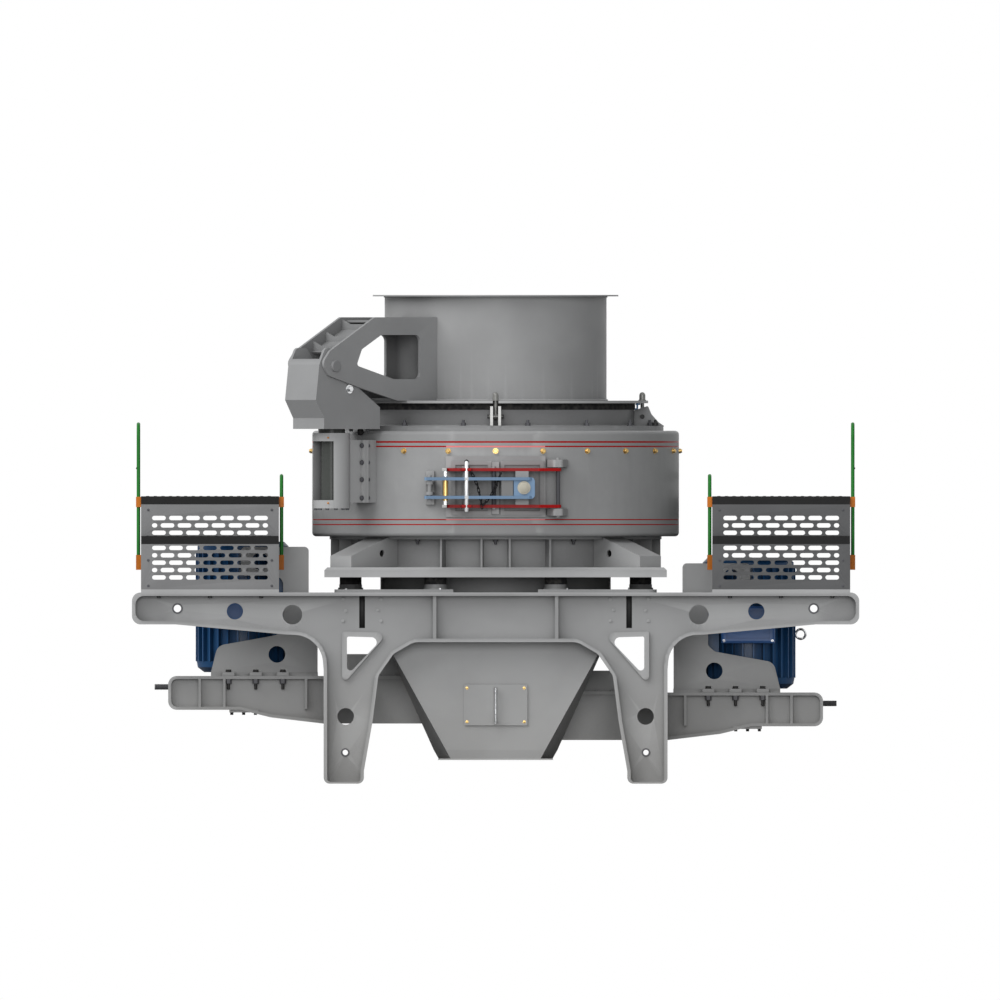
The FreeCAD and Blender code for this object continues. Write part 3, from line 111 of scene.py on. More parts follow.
class Finish:
    """A material round one principled shader, with one method that makes any node."""

    def __init__(self, name, **shader):
        self.material = bpy.data.materials.new(name)
        self.material.use_nodes = True
        self.tree = self.material.node_tree
        self.tree.nodes.clear()
        self.shader = self.node("BsdfPrincipled", {}, shader)
        self.node("OutputMaterial", {}, {"Surface": self.shader["BSDF"]})

    def node(self, kind, settings, values):
        made = self.tree.nodes.new("ShaderNode" + kind)
        for key, value in settings.items():
            if key == "stops":
                for stop, (place, colour) in zip(made.color_ramp.elements, value):
                    stop.position = place
                    stop.color = colour
            else:
                setattr(made, key, value)
        for key, value in values.items():
            if isinstance(value, Socket):
                self.tree.links.new(value.link, made.inputs[key])
            else:
                made.inputs[key].default_value = value
        return Node(self, made)

    def feed(self, name, value):
        self.tree.links.new(value.link, self.shader.node.inputs[name])

    def place(self):
        return self.node("TexCoord", {}, {})["Object"]

    def noise(self, scale, detail=3.0, rough=0.5):
        values = {"Vector": self.place(), "Scale": scale, "Detail": detail, "Roughness": rough}
        return self.node("TexNoise", {}, values)

    def height(self):
        return self.node("SeparateXYZ", {}, {"Vector": self.place()})["Z"]

    def within(self, low, high):
        """1 inside a box in the piece's own coordinates, 0 outside."""
        at = self.node("SeparateXYZ", {}, {"Vector": self.place()})
        mask = 1.0
        for axis, least, most in zip("XYZ", low, high):
            mask = (at[axis] > least) * (at[axis] < most) * mask
        return mask

    def ramp(self, value, low, high):
        settings = {"interpolation_type": "SMOOTHSTEP", "clamp": True}
        return self.node("MapRange", settings, {"Value": value, "From Min": low, "From Max": high})["Result"]

    def mix(self, factor, first, second):
        node = self.node("Mix", {"data_type": "RGBA"}, {0: factor})
        for index, value in ((6, first), (7, second)):
            if isinstance(value, Socket):
                self.tree.links.new(value.link, node.node.inputs[index])
            else:
                node.node.inputs[index].default_value = (*value[:3], 1.0)
        return Socket(self, node.node.outputs[2])

    def scale(self, colour, factor):
        """A colour made lighter or darker by a factor."""
        return self.node("VectorMath", {"operation": "SCALE"}, {"Vector": colour, "Scale": factor})["Vector"]

    def bump(self, height, distance, strength=0.3):
        node = self.node("Bump", {}, {"Height": height, "Distance": distance, "Strength": strength})
        self.feed("Normal", node["Normal"])


OCCLUSION_SHADE = 0.5
DUST = (0.42, 0.39, 0.34)
DUSTY_BELOW = 1.5


def sprayed(name, colour, rough=0.42, dust=0.12, coat=0.0, sheen=0.1, zones=()):
    """Machine paint with drifts of tone, orange peel, worn corners, painted shade in closed-in places and
    dust.

    Each zone is a box's two corners and the colour that it has instead.
    """
    shader = {"Roughness": rough, "Coat Weight": coat, "Coat Roughness": 0.2, "Specular IOR Level": sheen}
    finish = Finish(name, **shader)
    drift = finish.noise(1.7, 4.0)["Fac"]
    cloud = finish.noise(9.0, 5.0, 0.65)["Fac"]
    peel = finish.noise(420.0, 2.0)["Fac"]
    paint = colour
    for low, high, other in zones:
        paint = finish.mix(finish.within(low, high), paint, other)
    patchy = finish.ramp(drift, 0.35, 0.65)
    edge = finish.node("NewGeometry", {}, {})["Pointiness"]
    worn = finish.ramp(edge + cloud * 0.03, 0.56, 0.63)
    # Ambient occlusion darkens the colour in closed-in places: this is painted shade.
    open_sky = finish.node("AmbientOcclusion", {"samples": 6}, {"Distance": 0.7})["AO"]
    openness = finish.ramp(open_sky, 0.1, 0.62)
    tone = finish.scale(paint, (patchy * 0.12 + worn * 0.25 + 0.94) * (openness * OCCLUSION_SHADE + (1.0 - OCCLUSION_SHADE)))
    near_floor = 1.0 - finish.ramp(finish.height(), 0.0, DUSTY_BELOW)
    settled = finish.ramp(near_floor * 0.7 + cloud * 0.5, 0.35, 1.0) * dust
    finish.feed("Base Color", finish.mix(settled, tone, DUST))
    finish.feed("Roughness", cloud * 0.16 + (rough - 0.08) + settled)
    finish.bump(peel + cloud * 2.0, 0.0006, 0.22)
    return finish.material


GREY = (0.285, 0.287, 0.288)
grey_paint = sprayed("grey_machine_paint", GREY)


def dress(material, *names):
    """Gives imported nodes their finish."""
    for name in names:
        mesh = nodes[name].data
        mesh.materials.clear()
        mesh.materials.append(material)


dress(grey_paint, "side_frame_front", "side_frame_back", "cross_beams", "corner_pads")


def piece(name, mesh, material, body="crusher", smooth=30.0):
    """Turns a bmesh into a piece that rides on a body."""
    data = bpy.data.meshes.new(name)
    bmesh.ops.recalc_face_normals(mesh, faces=mesh.faces)
    mesh.to_mesh(data)
    mesh.free()
    for face in data.polygons:
        face.use_smooth = True
    data.set_sharp_from_angle(angle=math.radians(smooth))
    data.materials.append(material)
    made = bpy.data.objects.new(name, data)
    bpy.context.scene.collection.objects.link(made)
    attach(made, body)
    return made


def turning(axis):
    """A rotation that takes +Z to the given direction."""
    return Vector(axis).to_track_quat("Z", "Y").to_matrix().to_4x4()


def polar(radius, degrees, z=0.0):
    """A point at a radius and an angle round the machine's axis."""
    a = math.radians(degrees)
    return Vector((radius * math.cos(a), radius * math.sin(a), z))


def circle(radius, z, count):
    """Points spaced evenly round the machine's axis."""
    return [polar(radius, 360 * i / count, z) for i in range(count)]


def add_skin(mesh, loops, closed=False):
    """Joins each loop of vertices to the next; closed joins the last one to the first too."""
    for low, high in zip(loops, loops[1:] + loops[:1] if closed else loops[1:]):
        for i in range(len(low)):
            j = (i + 1) % len(low)
            mesh.faces.new((low[i], low[j], high[j], high[i]))


def add_lathe(mesh, at, axis, profile, sides=24):
    """Adds a turned form: profile holds (radius, height) pairs along axis from the point at."""
    where = Matrix.Translation(at) @ turning(axis)
    loops = []
    for radius, height in profile:
        if radius:
            loops.append([mesh.verts.new(where @ point) for point in circle(radius, height, sides)])
    add_skin(mesh, loops)
    mesh.faces.new(loops[0])
    if profile[-1][0]:
        mesh.faces.new(loops[-1])
        return
    tip = mesh.verts.new(where @ Vector((0, 0, profile[-1][1])))
    for i in range(sides):
        mesh.faces.new((loops[-1][i], loops[-1][(i + 1) % sides], tip))


def add_band(mesh, profile, sides, where=Matrix.Identity(4)):
    """Adds a hoop: a closed profile of (radius, height) pairs turned round an axis."""
    loops = []
    for radius, height in profile:
        loops.append([mesh.verts.new(where @ point) for point in circle(radius, height, sides)])
    add_skin(mesh, loops, closed=True)


def add_box(mesh, low, high, bevel=0.0):
    """Adds a block between two corners, with eased edges where bevel is over 0."""
    made = bmesh.ops.create_cube(mesh, size=1.0)["verts"]
    for vert in made:
        vert.co = Vector([low[k] + (vert.co[k] + 0.5) * (high[k] - low[k]) for k in range(3)])
    if bevel:
        edges = list({e for v in made for e in v.link_edges})
        bmesh.ops.bevel(mesh, geom=edges, offset=bevel, segments=2, affect="EDGES", profile=0.6)


def add_bolt(mesh, at, axis, size, stand=1.0, end=0.0):
    """Adds a washer, a chamfered hexagon and, where end is over 0, the thread's end beyond it."""
    washer = size * 0.18
    add_lathe(mesh, at, axis, [(size * 1.05, 0), (size * 1.05, washer)], 20)
    head = washer + size * 0.65 * stand
    add_lathe(mesh, at, axis, [(size * 0.86, washer), (size * 0.9, head - size * 0.1), (size * 0.7, head)], 6)
    if end:
        tip = head + end
        add_lathe(mesh, at, axis, [(size * 0.5, head), (size * 0.5, tip - size * 0.1), (size * 0.4, tip)], 16)


def bolts(name, places, size, material, stand=1.0, end=0.0):
    """One piece of many bolts; places holds (point, outward direction) pairs."""
    mesh = bmesh.new()
    for at, axis in places:
        add_bolt(mesh, at, axis, size, stand, end)
    piece(name, mesh, material)


black_steel = sprayed("blackened_steel", (0.022, 0.022, 0.022), 0.38, 0.03)
oiled = sprayed("oiled_steel", (0.075, 0.075, 0.082), 0.36, 0.04)

GUSSET_BOLTS = ((1.045, 1.265), (1.026, 1.186), (1.045, 1.115),
                (0.785, 1.262), (0.806, 1.189), (0.785, 1.115))
EYELETS = ((2.179, 1.200, 0.036), (1.030, 0.214, 0.029))
EYELET_WIDE = 0.0105
EYELET_HIGH = 0.005
WEB_HALF = 0.012
PACKER_X = (0.890, 0.938)
PACKER_Z = (1.060, 1.288)
PACKER_THICK = 0.016
BITE = 0.001
QUARTERS = [(side, end) for end in (-1, 1) for side in (-1, 1)]
frame_low, frame_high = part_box("side_frame_front")
web_face = abs(frame_low.y + frame_high.y) / 2 + WEB_HALF
beam_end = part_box("cross_beams")[1].y
places = []
rims = bmesh.new()
packers = bmesh.new()
for side, end in QUARTERS:
    for x, z in GUSSET_BOLTS:
        places.append(((side * x, end * web_face, z), (0, end, 0)))
    for x, z, rim in EYELETS:
        where = Matrix.Translation((side * x, end * (web_face - BITE), z)) @ turning((0, end, 0))
        profile = [(rim - EYELET_WIDE, 0), (rim, 0), (rim, EYELET_HIGH), (rim - EYELET_WIDE, EYELET_HIGH)]
        add_band(rims, profile, 32, where)
    x0, x1 = sorted(side * x for x in PACKER_X)
    y0, y1 = sorted((end * (beam_end - BITE), end * (beam_end + PACKER_THICK)))
    add_box(packers, (x0, y0, PACKER_Z[0]), (x1, y1, PACKER_Z[1]), 0.003)
bolts("gusset_bolts", places, 0.012, grey_paint)
piece("eyelets", rims, oiled)
piece("slot_packers", packers, black_steel)

# Corner pads and rubber mounts
# A plate across each corner of the base carries two bonded rubber mounts in steel cups.
# The rubber is matt black with a bloom of dust, and a bolt clamps each cup to its plate.

rubber = Finish("mount_rubber", **{"Roughness": 0.85, "Specular IOR Level": 0.15})
bloom = rubber.noise(30.0, 5.0)["Fac"]
bloomed = rubber.ramp(bloom, 0.35, 0.8)
rubber.feed("Base Color", rubber.mix(bloomed, (0.012, 0.012, 0.013), (0.05, 0.048, 0.045)))
rubber.feed("Roughness", bloom * 0.2 + 0.7)
rubber.bump(rubber.noise(600.0)["Fac"], 0.0004, 0.3)
dress(rubber.material, "rubber_mounts", "seal_band")
dress(grey_paint, "mount_cups")


def plated(name, colour, rough):
    """Zinc-plated or turned steel with fine turning marks and a few dull patches."""
    finish = Finish(name, **{"Metallic": 1.0, "Roughness": rough})
    cloud = finish.noise(24.0, 4.0)["Fac"]
    fine = finish.noise(300.0, 2.0)["Fac"]
    dull = [c * 0.8 for c in colour]
    finish.feed("Base Color", finish.mix(finish.ramp(cloud, 0.3, 0.7), dull, colour))
    finish.feed("Roughness", cloud * 0.2 + fine * 0.08 + (rough - 0.12))
    finish.bump(fine, 0.0003, 0.15)
    return finish.material


zinc = plated("zinc_plate", (0.62, 0.63, 0.64), 0.34)
UP = Vector((0, 0, 1))
MOUNT_CIRCLE = 1.075
CUP_BOLT_CIRCLE = 0.0815
cup_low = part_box("mount_cups")[0]
places = []
for i in range(8):
    middle = 22.5 + 45 * i
    for turn in (45, 225):
        places.append((polar(MOUNT_CIRCLE, middle, cup_low.z) + polar(CUP_BOLT_CIRCLE, middle + turn), UP))
bolts("cup_bolts", places, 0.010, zinc)

# Platform and drum support
# A square plate frame with a bevelled rim, a ribbed ring and four box arms hold the drum up.
# They are welded together and painted like the base; bolts join the ring's flange to the drum.

dress(grey_paint, "support_platform", "support_ring", "corner_arms", "lower_skirt")
ring_low, ring_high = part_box("support_ring")
FLANGE_BOLT_CIRCLE = 1.068
FLANGE_UNDER = ring_high.z - 0.020
places = [(point, -UP) for point in circle(FLANGE_BOLT_CIRCLE, FLANGE_UNDER, 12)]
bolts("support_flange_bolts", places, 0.018, oiled, end=0.020)


def weld(name, points, radius, closed=True):
    """A weld bead: a tube with the ripples of a hand-run weld along the given points."""
    mesh = bmesh.new()
    count = len(points)
    loops = []
    for i, point in enumerate(points):
        before = points[i - 1] if closed or i else points[i]
        after = points[(i + 1) % count] if closed or i < count - 1 else points[i]
        turn = turning(after - before)
        size = radius * (1.0 + 0.12 * (i % 2))
        loops.append([mesh.verts.new(point + turn @ corner) for corner in circle(size, 0, 6)])
    add_skin(mesh, loops, closed)
    if not closed:
        mesh.faces.new(loops[0])
        mesh.faces.new(loops[-1])
    piece(name, mesh, grey_paint, smooth=70.0)


SUPPORT_WALL = 1.048
weld("support_wall_weld", circle(SUPPORT_WALL, ring_low.z + 0.001, 240), 0.006)

# Drum
# A rolled steel shell with rounded rims, plated above and below, painted like the base.
# Two pairs of shallow grooves carry red rings, and brass lining studs stand out all round.

dress(grey_paint, "drum_wall_back", "drum_wall_left", "drum_wall_right", "doorway_panels")
dress(grey_paint, "drum_floor", "drum_top")
RED = (0.27, 0.006, 0.006)
PALE_RED = (0.62, 0.16, 0.16)
DRUM_R = 1.256
INNER_STRIPES = (2.310, 1.809)
STRIPES = ((2.341, 0.012), (INNER_STRIPES[0], 0.010), (INNER_STRIPES[1], 0.008), (1.775, 0.008))
STRIPE_FOOT = DRUM_R - 0.004
STRIPE_FACE = DRUM_R - 0.0006
DOOR_HALF = 0.339
mesh = bmesh.new()
for z, high in STRIPES:
    low, up = z - high / 2, z + high / 2
    add_band(mesh, [(STRIPE_FOOT, low), (STRIPE_FACE, low), (STRIPE_FACE, up), (STRIPE_FOOT, up)], 180)
# Across the door's width the two inner stripes are a paler red.
paler_over_door = [((-DOOR_HALF, -2, z - 0.01), (DOOR_HALF, 0, z + 0.01), PALE_RED) for z in INNER_STRIPES]
piece("red_stripes", mesh, sprayed("red_stripe_paint", RED, 0.4, 0.08, zones=paler_over_door))

brass = plated("satin_brass", (0.62, 0.42, 0.16), 0.36)
dress(brass, "drum_studs")
STUD_Z = 2.279
mesh = bmesh.new()
for out in circle(1.0, 0, 24):
    at = out * DRUM_R + UP * STUD_Z
    add_lathe(mesh, at - out * 0.004, out, [(0.0195, 0), (0.0195, 0.006)], 20)
    add_lathe(mesh, at + out * 0.002, out, [(0.0160, 0), (0.0165, 0.002), (0.0165, 0.012), (0.014, 0.015)], 6)
    add_lathe(mesh, at + out * 0.012, out, [(0.0095, 0), (0.0095, 0.0075), (0.0075, 0.0097)], 16)
piece("stud_nuts", mesh, brass)

# Rotor and chamber
# The rotor, its bearing cartridge and the feed cone are bare wear castings.
# Flying rock has scoured them to a dull brown-grey iron with bright scratches.

iron = Finish("scoured_iron", **{"Metallic": 0.7, "Roughness": 0.5})
pit = iron.noise(60.0, 6.0, 0.7)["Fac"]
iron.feed("Base Color", iron.mix(iron.ramp(pit, 0.35, 0.7), (0.09, 0.075, 0.06), (0.32, 0.3, 0.28)))
iron.feed("Roughness", pit * 0.4 + 0.32)
iron.bump(pit, 0.004, 0.4)
dress(iron.material, "rotor", "bearing_cartridge", "feed_cone")

# Upper ring and clamps
# A flanged ring is bolted to the drum's top, and four pairs of ribs on it hold swing bolts.
# The ring is painted; the swing bolts are dull steel with domed nuts, and a clip holds the seal.

# A darker grey than the base for the ring, head and arm: painted shade.
SHADED_GREY = (0.225, 0.227, 0.229)
# The ribs at front and back are painted lighter than the ring: a painted highlight.
LIT_RIB_GREY = (0.44, 0.44, 0.43)
lit_rib_fronts = [((-0.04, y, 2.455), (0.04, y + 0.30, 2.60), LIT_RIB_GREY) for y in (-1.30, 1.00)]
dress(sprayed("ring_grey_paint", SHADED_GREY, zones=lit_rib_fronts), "upper_ring")
RING_BOLT_CIRCLE = 1.062
RING_BOLTS_FROM = -78
FLANGE_RISE = 0.034
CLAMP_STUD_CIRCLE = 1.15
CLAMP_STUD_TURN = 17.8
ring_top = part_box("drum_wall_back")[1].z + FLANGE_RISE
places = [(polar(RING_BOLT_CIRCLE, RING_BOLTS_FROM + 24 * i, ring_top), UP) for i in range(15)]
bolts("ring_bolts", places, 0.019, oiled, stand=1.45, end=0.019)
mesh = bmesh.new()
for middle in (0, 180):
    for turn in (-CLAMP_STUD_TURN, CLAMP_STUD_TURN):
        at = polar(CLAMP_STUD_CIRCLE, middle + turn, ring_top)
        add_lathe(mesh, at, UP, [(0.0225, 0), (0.0225, 0.020), (0.019, 0.024)], 20)
        add_lathe(mesh, at, UP, [(0.010, 0.024), (0.010, 0.039), (0.008, 0.041)], 16)
piece("clamp_studs", mesh, black_steel)
dress(sprayed("dull_steel", (0.17, 0.17, 0.16), 0.32, 0.0, sheen=0.5), "swing_bolts")
SWING_PIN_R = 1.005
SWING_PIN_Z = 2.515
SWING_PIN_HALF = 0.049
mesh = bmesh.new()
for quarter in range(4):
    for end in (-1, 1):
        across = polar(end, 90 * quarter + 90)
        at = polar(SWING_PIN_R, 90 * quarter, SWING_PIN_Z) + across * SWING_PIN_HALF
        add_lathe(mesh, at, across, [(0.0145, 0), (0.0145, 0.004), (0.0125, 0.006)], 20)
piece("swing_pin_ends", mesh, black_steel)
CLIP_HALF = 0.018
CLIP_STEPS = ((0.951, 0.976, 2.560, 2.572), (0.964, 0.977, 2.5715, 2.5945), (0.958, 0.991, 2.594, 2.6065))
mesh = bmesh.new()
for x0, x1, z0, z1 in CLIP_STEPS:
    add_box(mesh, (x0, -CLIP_HALF, z0), (x1, CLIP_HALF, z1), 0.002)
piece("seal_clip", mesh, sprayed("light_blue_clip", (0.20, 0.48, 0.90), 0.4, 0.0))
RING_WALL = 0.949
weld("ring_weld", circle(RING_WALL, ring_top + 0.001, 240), 0.006)

# Lid and feed tube
# The lid is a flat ring of plate on a rubber seal, with the feed tube welded upright on it.
# A rolled flange trims the tube's open mouth; inside, falling rock has worn the paint away.

dress(grey_paint, "lid_plate", "feed_tube")
tube_low, tube_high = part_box("feed_tube")
TUBE_R = 0.760
SEAM_AT = 114.5916
weld("tube_foot_weld", circle(TUBE_R + 0.002, tube_low.z + 0.003, 240), 0.008)
weld("tube_flange_weld", circle(TUBE_R + 0.002, tube_high.z - 0.013, 240), 0.005)
seam = [polar(TUBE_R, SEAM_AT, tube_low.z + 0.02 + 0.0115 * i) for i in range(59)]
weld("tube_seam_weld", seam, 0.005, closed=False)

worn_bore = Finish("worn_bore", **{"Metallic": 0.55, "Roughness": 0.5})
streak = worn_bore.node("Mapping", {}, {"Vector": worn_bore.place(), "Scale": (9.0, 9.0, 0.8)})["Vector"]
scrape = worn_bore.node("TexNoise", {}, {"Vector": streak, "Scale": 4.0, "Detail": 6.0})["Fac"]
bare = worn_bore.ramp(scrape, 0.35, 0.7)
worn_bore.feed("Base Color", worn_bore.mix(bare, (0.10, 0.09, 0.08), (0.30, 0.29, 0.28)))
worn_bore.feed("Roughness", scrape * 0.3 + 0.35)
worn_bore.bump(scrape, 0.002, 0.3)
LINER_OUT = TUBE_R - 0.0125
LINER_IN = TUBE_R - 0.0165
liner_low = tube_low.z + 0.002
liner_high = tube_high.z - 0.002
mesh = bmesh.new()
outside = [(LINER_OUT, liner_low), (LINER_OUT, liner_high)]
inside = [(LINER_IN, liner_high), (LINER_IN, liner_low)]
add_band(mesh, outside + inside, 96)
piece("tube_liner", mesh, worn_bore.material)

# Inspection door
# The leaf hangs on two red arms from a pin on the right, and a lever locks it on the left.
# Between the arms the plates and pins are bare or grey; a lock pin hangs on a short black chain.

dress(grey_paint, "door_leaf", "catch_bracket")
ARM_FRONT = -1.386
ARM_LOW = 1.890
ARM_HIGH = 2.141
ARM_THICK = 0.021
INNER_LOW = ARM_LOW + ARM_THICK
OIL = (0.075, 0.075, 0.082)
between = ((-1, -2, INNER_LOW), (1, 0, ARM_HIGH), GREY)
middle_pin = ((-0.030, -2, INNER_LOW), (0.016, 0, ARM_HIGH), OIL)
hinge_pin = ((0.400, -2, INNER_LOW), (0.450, 0, ARM_HIGH), OIL)
pin_tops = ((-1, -2, ARM_HIGH + ARM_THICK), (1, 0, 3), GREY)
pin_feet = ((-1, -2, 0), (1, 0, ARM_LOW), GREY)
red_paint = sprayed("red_signal_paint", RED, 0.4, 0.08, zones=(between, middle_pin, pin_tops, pin_feet))
dress(red_paint, "door_arms")
dress(sprayed("hinge_paint", GREY, zones=(hinge_pin,)), "hinge_bracket")

FRONT = Vector((0, -1, 0))
LOCK_X = -0.199
LOCK_R = 0.013
LEVER_BLUE = (0.135, 0.215, 0.325)
lever_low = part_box("door_lever")[0]
pin_notch = ((LOCK_X - LOCK_R, -2, 0), (LOCK_X + LOCK_R, lever_low.y + 0.004, 3), (0.55, 0.56, 0.57))
stop_block = ((0.036, -2, 1.972), (0.119, 0, 2.078), (0.18, 0.18, 0.18))
lever_paint = sprayed("blue_grey_paint", LEVER_BLUE, 0.38, 0.05, zones=(stop_block, pin_notch))
dress(lever_paint, "door_lever")
END_PLATE_X = (0.124, 0.269)
END_PLATE_Z = (1.951, 2.099)
END_PLATE_ROUND = 0.028
END_PLATE_THICK = 0.026
end_plate_y = lever_low.y + 0.018
corners = [(END_PLATE_X[0], END_PLATE_Z[0]), (END_PLATE_X[0], END_PLATE_Z[1])]
round_x = END_PLATE_X[1] - END_PLATE_ROUND
for round_z, turn in ((END_PLATE_Z[1] - END_PLATE_ROUND, 90), (END_PLATE_Z[0] + END_PLATE_ROUND, 0)):
    for step in range(0, 91, 15):
        corner = polar(END_PLATE_ROUND, turn - step)
        corners.append((round_x + corner.x, round_z + corner.y))
mesh = bmesh.new()
faces = []
for y in (end_plate_y, end_plate_y + END_PLATE_THICK):
    faces.append([mesh.verts.new((x, y, z)) for x, z in corners])
    mesh.faces.new(faces[-1])
add_skin(mesh, faces)
piece("lever_end_plate", mesh, lever_paint, "door")

lock_y = lever_low.y + LOCK_R + 0.0005
EAR_HALF = 0.034
mesh = bmesh.new()
for z in (ARM_LOW, ARM_HIGH):
    low = (LOCK_X - EAR_HALF, lever_low.y + 0.001, z)
    add_box(mesh, low, (LOCK_X + EAR_HALF, ARM_FRONT + 0.006, z + ARM_THICK), 0.005)
piece("lock_pin_ears", mesh, red_paint, "door")
satin = Finish("satin_pin", **{"Base Color": (0.85, 0.86, 0.87, 1), "Metallic": 0.4, "Roughness": 0.35})
mesh = bmesh.new()
add_lathe(mesh, (LOCK_X, lock_y, 1.862), UP, [(0.009, 0), (LOCK_R, 0.008), (LOCK_R, 0.342), (0.011, 0.346)])
piece("lock_pin", mesh, satin.material, "door")


def add_torus(mesh, centre, turn, major, minor, stretch=0.0, steps=28, sides=8):
    """Adds a closed link: a ring, or with stretch a long chain link."""
    loops = []
    for i in range(steps):
        a = 2 * math.pi * i / steps
        shift = stretch if math.cos(a) > 0 else -stretch
        loop = []
        for k in range(sides):
            b = 2 * math.pi * k / sides
            r = major + minor * math.cos(b)
            at = Vector((r * math.cos(a) + shift, r * math.sin(a), minor * math.sin(b)))
            loop.append(mesh.verts.new(Vector(centre) + turn @ at))
        loops.append(loop)
    add_skin(mesh, loops, closed=True)


mesh = bmesh.new()
add_torus(mesh, (LOCK_X, lock_y, 2.205), turning((0, 1, 0)), 0.012, 0.004)
piece("pin_ring", mesh, black_steel, "door")

CHAIN = ((-0.194, 2.176), (-0.155, 2.110), (-0.125, 2.045), (-0.103, 1.955), (-0.095, 1.900),
         (-0.070, 1.925), (-0.025, 1.985), (0.005, 2.045), (0.026, 2.100), (0.036, 2.125))
CHAIN_LINK = 0.034
LINK_PITCH = CHAIN_LINK * 0.82


def chain_points():
    """Link centres with their directions, a link's pitch apart along the hanging line."""
    y = lever_low.y + 0.0125
    line = [Vector((x, y, z)) for x, z in CHAIN]
    found = []
    left = CHAIN_LINK / 2
    for first, last in zip(line, line[1:]):
        along = last - first
        span = along.length
        while left < span:
            found.append((first + along * (left / span), along.normalized()))
            left += LINK_PITCH
        left -= span
    return found


mesh = bmesh.new()
for i, (at, along) in enumerate(chain_points()):
    side = Matrix.Rotation(math.radians(25 + 90 * (i % 2)), 4, along) @ along.cross(FRONT)
    turn = Matrix((along, side, along.cross(side))).transposed().to_4x4()
    add_torus(mesh, at, turn, 0.0085, 0.0033, 0.010, 16, 6)
chain_black = sprayed("chain_black", (0.010, 0.010, 0.011), 0.5, 0.0)
piece("safety_chain", mesh, chain_black, "door")

CLAMP_SCREW = (0.1945, end_plate_y, 2.0275)
mesh = bmesh.new()
add_bolt(mesh, CLAMP_SCREW, FRONT, 0.043, 0.36)
piece("clamp_screw", mesh, sprayed("dull_zinc", (0.37, 0.35, 0.29), 0.34, 0.0), "door")
chrome = plated("bright_plate", (0.78, 0.79, 0.8), 0.16)
BUSH_X = -0.344
LUG_X = (-0.367, -0.3345)
bush_y = lever_low.y + 0.040
mesh = bmesh.new()
add_lathe(mesh, (BUSH_X, bush_y, lever_low.z - 0.007), UP, [(0.0195, 0), (0.0195, 0.162)], 28)
piece("lever_bush", mesh, brass, "door")
mesh = bmesh.new()
add_lathe(mesh, (BUSH_X, bush_y, INNER_LOW), UP, [(0.0150, 0), (0.0150, 0.230)], 28)
piece("lever_pin", mesh, chrome, "door")
mesh = bmesh.new()
for z in (ARM_LOW, ARM_HIGH):
    add_box(mesh, (LUG_X[0], bush_y - 0.030, z), (LUG_X[1], ARM_FRONT + 0.060, z + ARM_THICK), 0.004)
piece("pin_lugs", mesh, sprayed("pale_grey_paint", (0.45, 0.45, 0.44), 0.4, 0.05), "door")

# Lid column and arm
# A bolted-on housing holds a turning shaft, and its head and arm lift and swing the lid aside.
# Housing, head and arm are painted fabrications with bright pins and a screw jack.

dress(grey_paint, "column_housing", "column_bracket")
# The head and arm take the darker grey: painted shade.
shaded_paint = sprayed("shaded_grey_paint", SHADED_GREY)
dress(shaded_paint, "arm_head", "lid_arm")
dress(sprayed("greased_steel", (0.058, 0.062, 0.058), 0.26, 0.0), "swivel_shaft")
dress(chrome, "pivot_and_jack")
COLUMN = 1.589
DIAGONAL = polar(1, 225)
ACROSS = polar(1, 315)


def on_column(radial, across, z):
    """A point on the column: how far out along its diagonal, across it, and up."""
    return DIAGONAL * radial + ACROSS * across + UP * z


housing_low, housing_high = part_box("column_housing")
BOLT_ACROSS = 0.108
BOLTS_Z = (1.957, 2.083, 2.200, 2.316)
BRACKET_FACES = ((1.350, -1), (1.400, 1))
places = []
for across in (-BOLT_ACROSS, BOLT_ACROSS):
    for z in BOLTS_Z:
        for radial, way in BRACKET_FACES:
            places.append((on_column(radial, across, z), DIAGONAL * way))
bolts("column_bolts", places, 0.0165, oiled)
HOUSING_BOLT_CIRCLE = 0.112
foot = on_column(COLUMN, 0, housing_low.z)
places = [(foot + polar(HOUSING_BOLT_CIRCLE, 15 + 30 * i), -UP) for i in range(12)]
bolts("housing_bolts", places, 0.014, oiled)
NIPPLE = [(0.006, 0), (0.006, 0.006), (0.0035, 0.008), (0.0035, 0.013), (0.002, 0.015)]
HOUSING_R = 0.126
mesh = bmesh.new()
for z in (housing_low.z + 0.036, housing_high.z - 0.032):
    for a in (-1.4, 0.6):
        out = DIAGONAL * math.cos(a) + ACROSS * math.sin(a)
        add_lathe(mesh, on_column(COLUMN, 0, z) + out * HOUSING_R, out, NIPPLE, 12)
piece("grease_nipples", mesh, sprayed("orange_cap", (0.55, 0.2, 0.02), 0.35, 0.0))

head_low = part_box("arm_head")[0]
HEAD_HALF = 0.150
JACK_PIN = (1.569, 2.704)
PIVOT = (1.732, 2.861)
PIVOT_HALF = 0.191
places = [(on_column(1.32, across, head_low.z), -UP) for across in (-0.08, 0.08)]
bolts("head_bolts", places, 0.015, oiled, stand=1.5)
BUFFER = [(0.016, 0), (0.021, 0.008), (0.0225, 0.020), (0.019, 0.034), (0.011, 0.042), (0, 0.044)]
mesh = bmesh.new()
add_lathe(mesh, on_column(1.31, 0, head_low.z), -UP, BUFFER, 28)
piece("head_buffer", mesh, rubber.material)
nuts = bmesh.new()
caps = bmesh.new()
for side in (-1, 1):
    out = ACROSS * side
    at = on_column(JACK_PIN[0], side * HEAD_HALF, JACK_PIN[1])
    add_lathe(nuts, at, out, [(0.034, 0), (0.034, 0.006), (0.031, 0.008)], 28)
    add_lathe(nuts, at, out, [(0.021, 0.008), (0.021, 0.022), (0.018, 0.025)], 6)
    at = on_column(PIVOT[0], side * PIVOT_HALF, PIVOT[1])
    add_lathe(caps, at, out, [(0.040, -0.016), (0.040, 0.001), (0.036, 0.004)], 28)
piece("jack_pin_nuts", nuts, chrome)
piece("pivot_caps", caps, shaded_paint)

# Drives
# Two vertical motors stand on slotted brackets over flanged seats, and closed guards cover the belts.
# The motors are dark blue enamel over ribbed castings, with lighter blue terminal boxes.

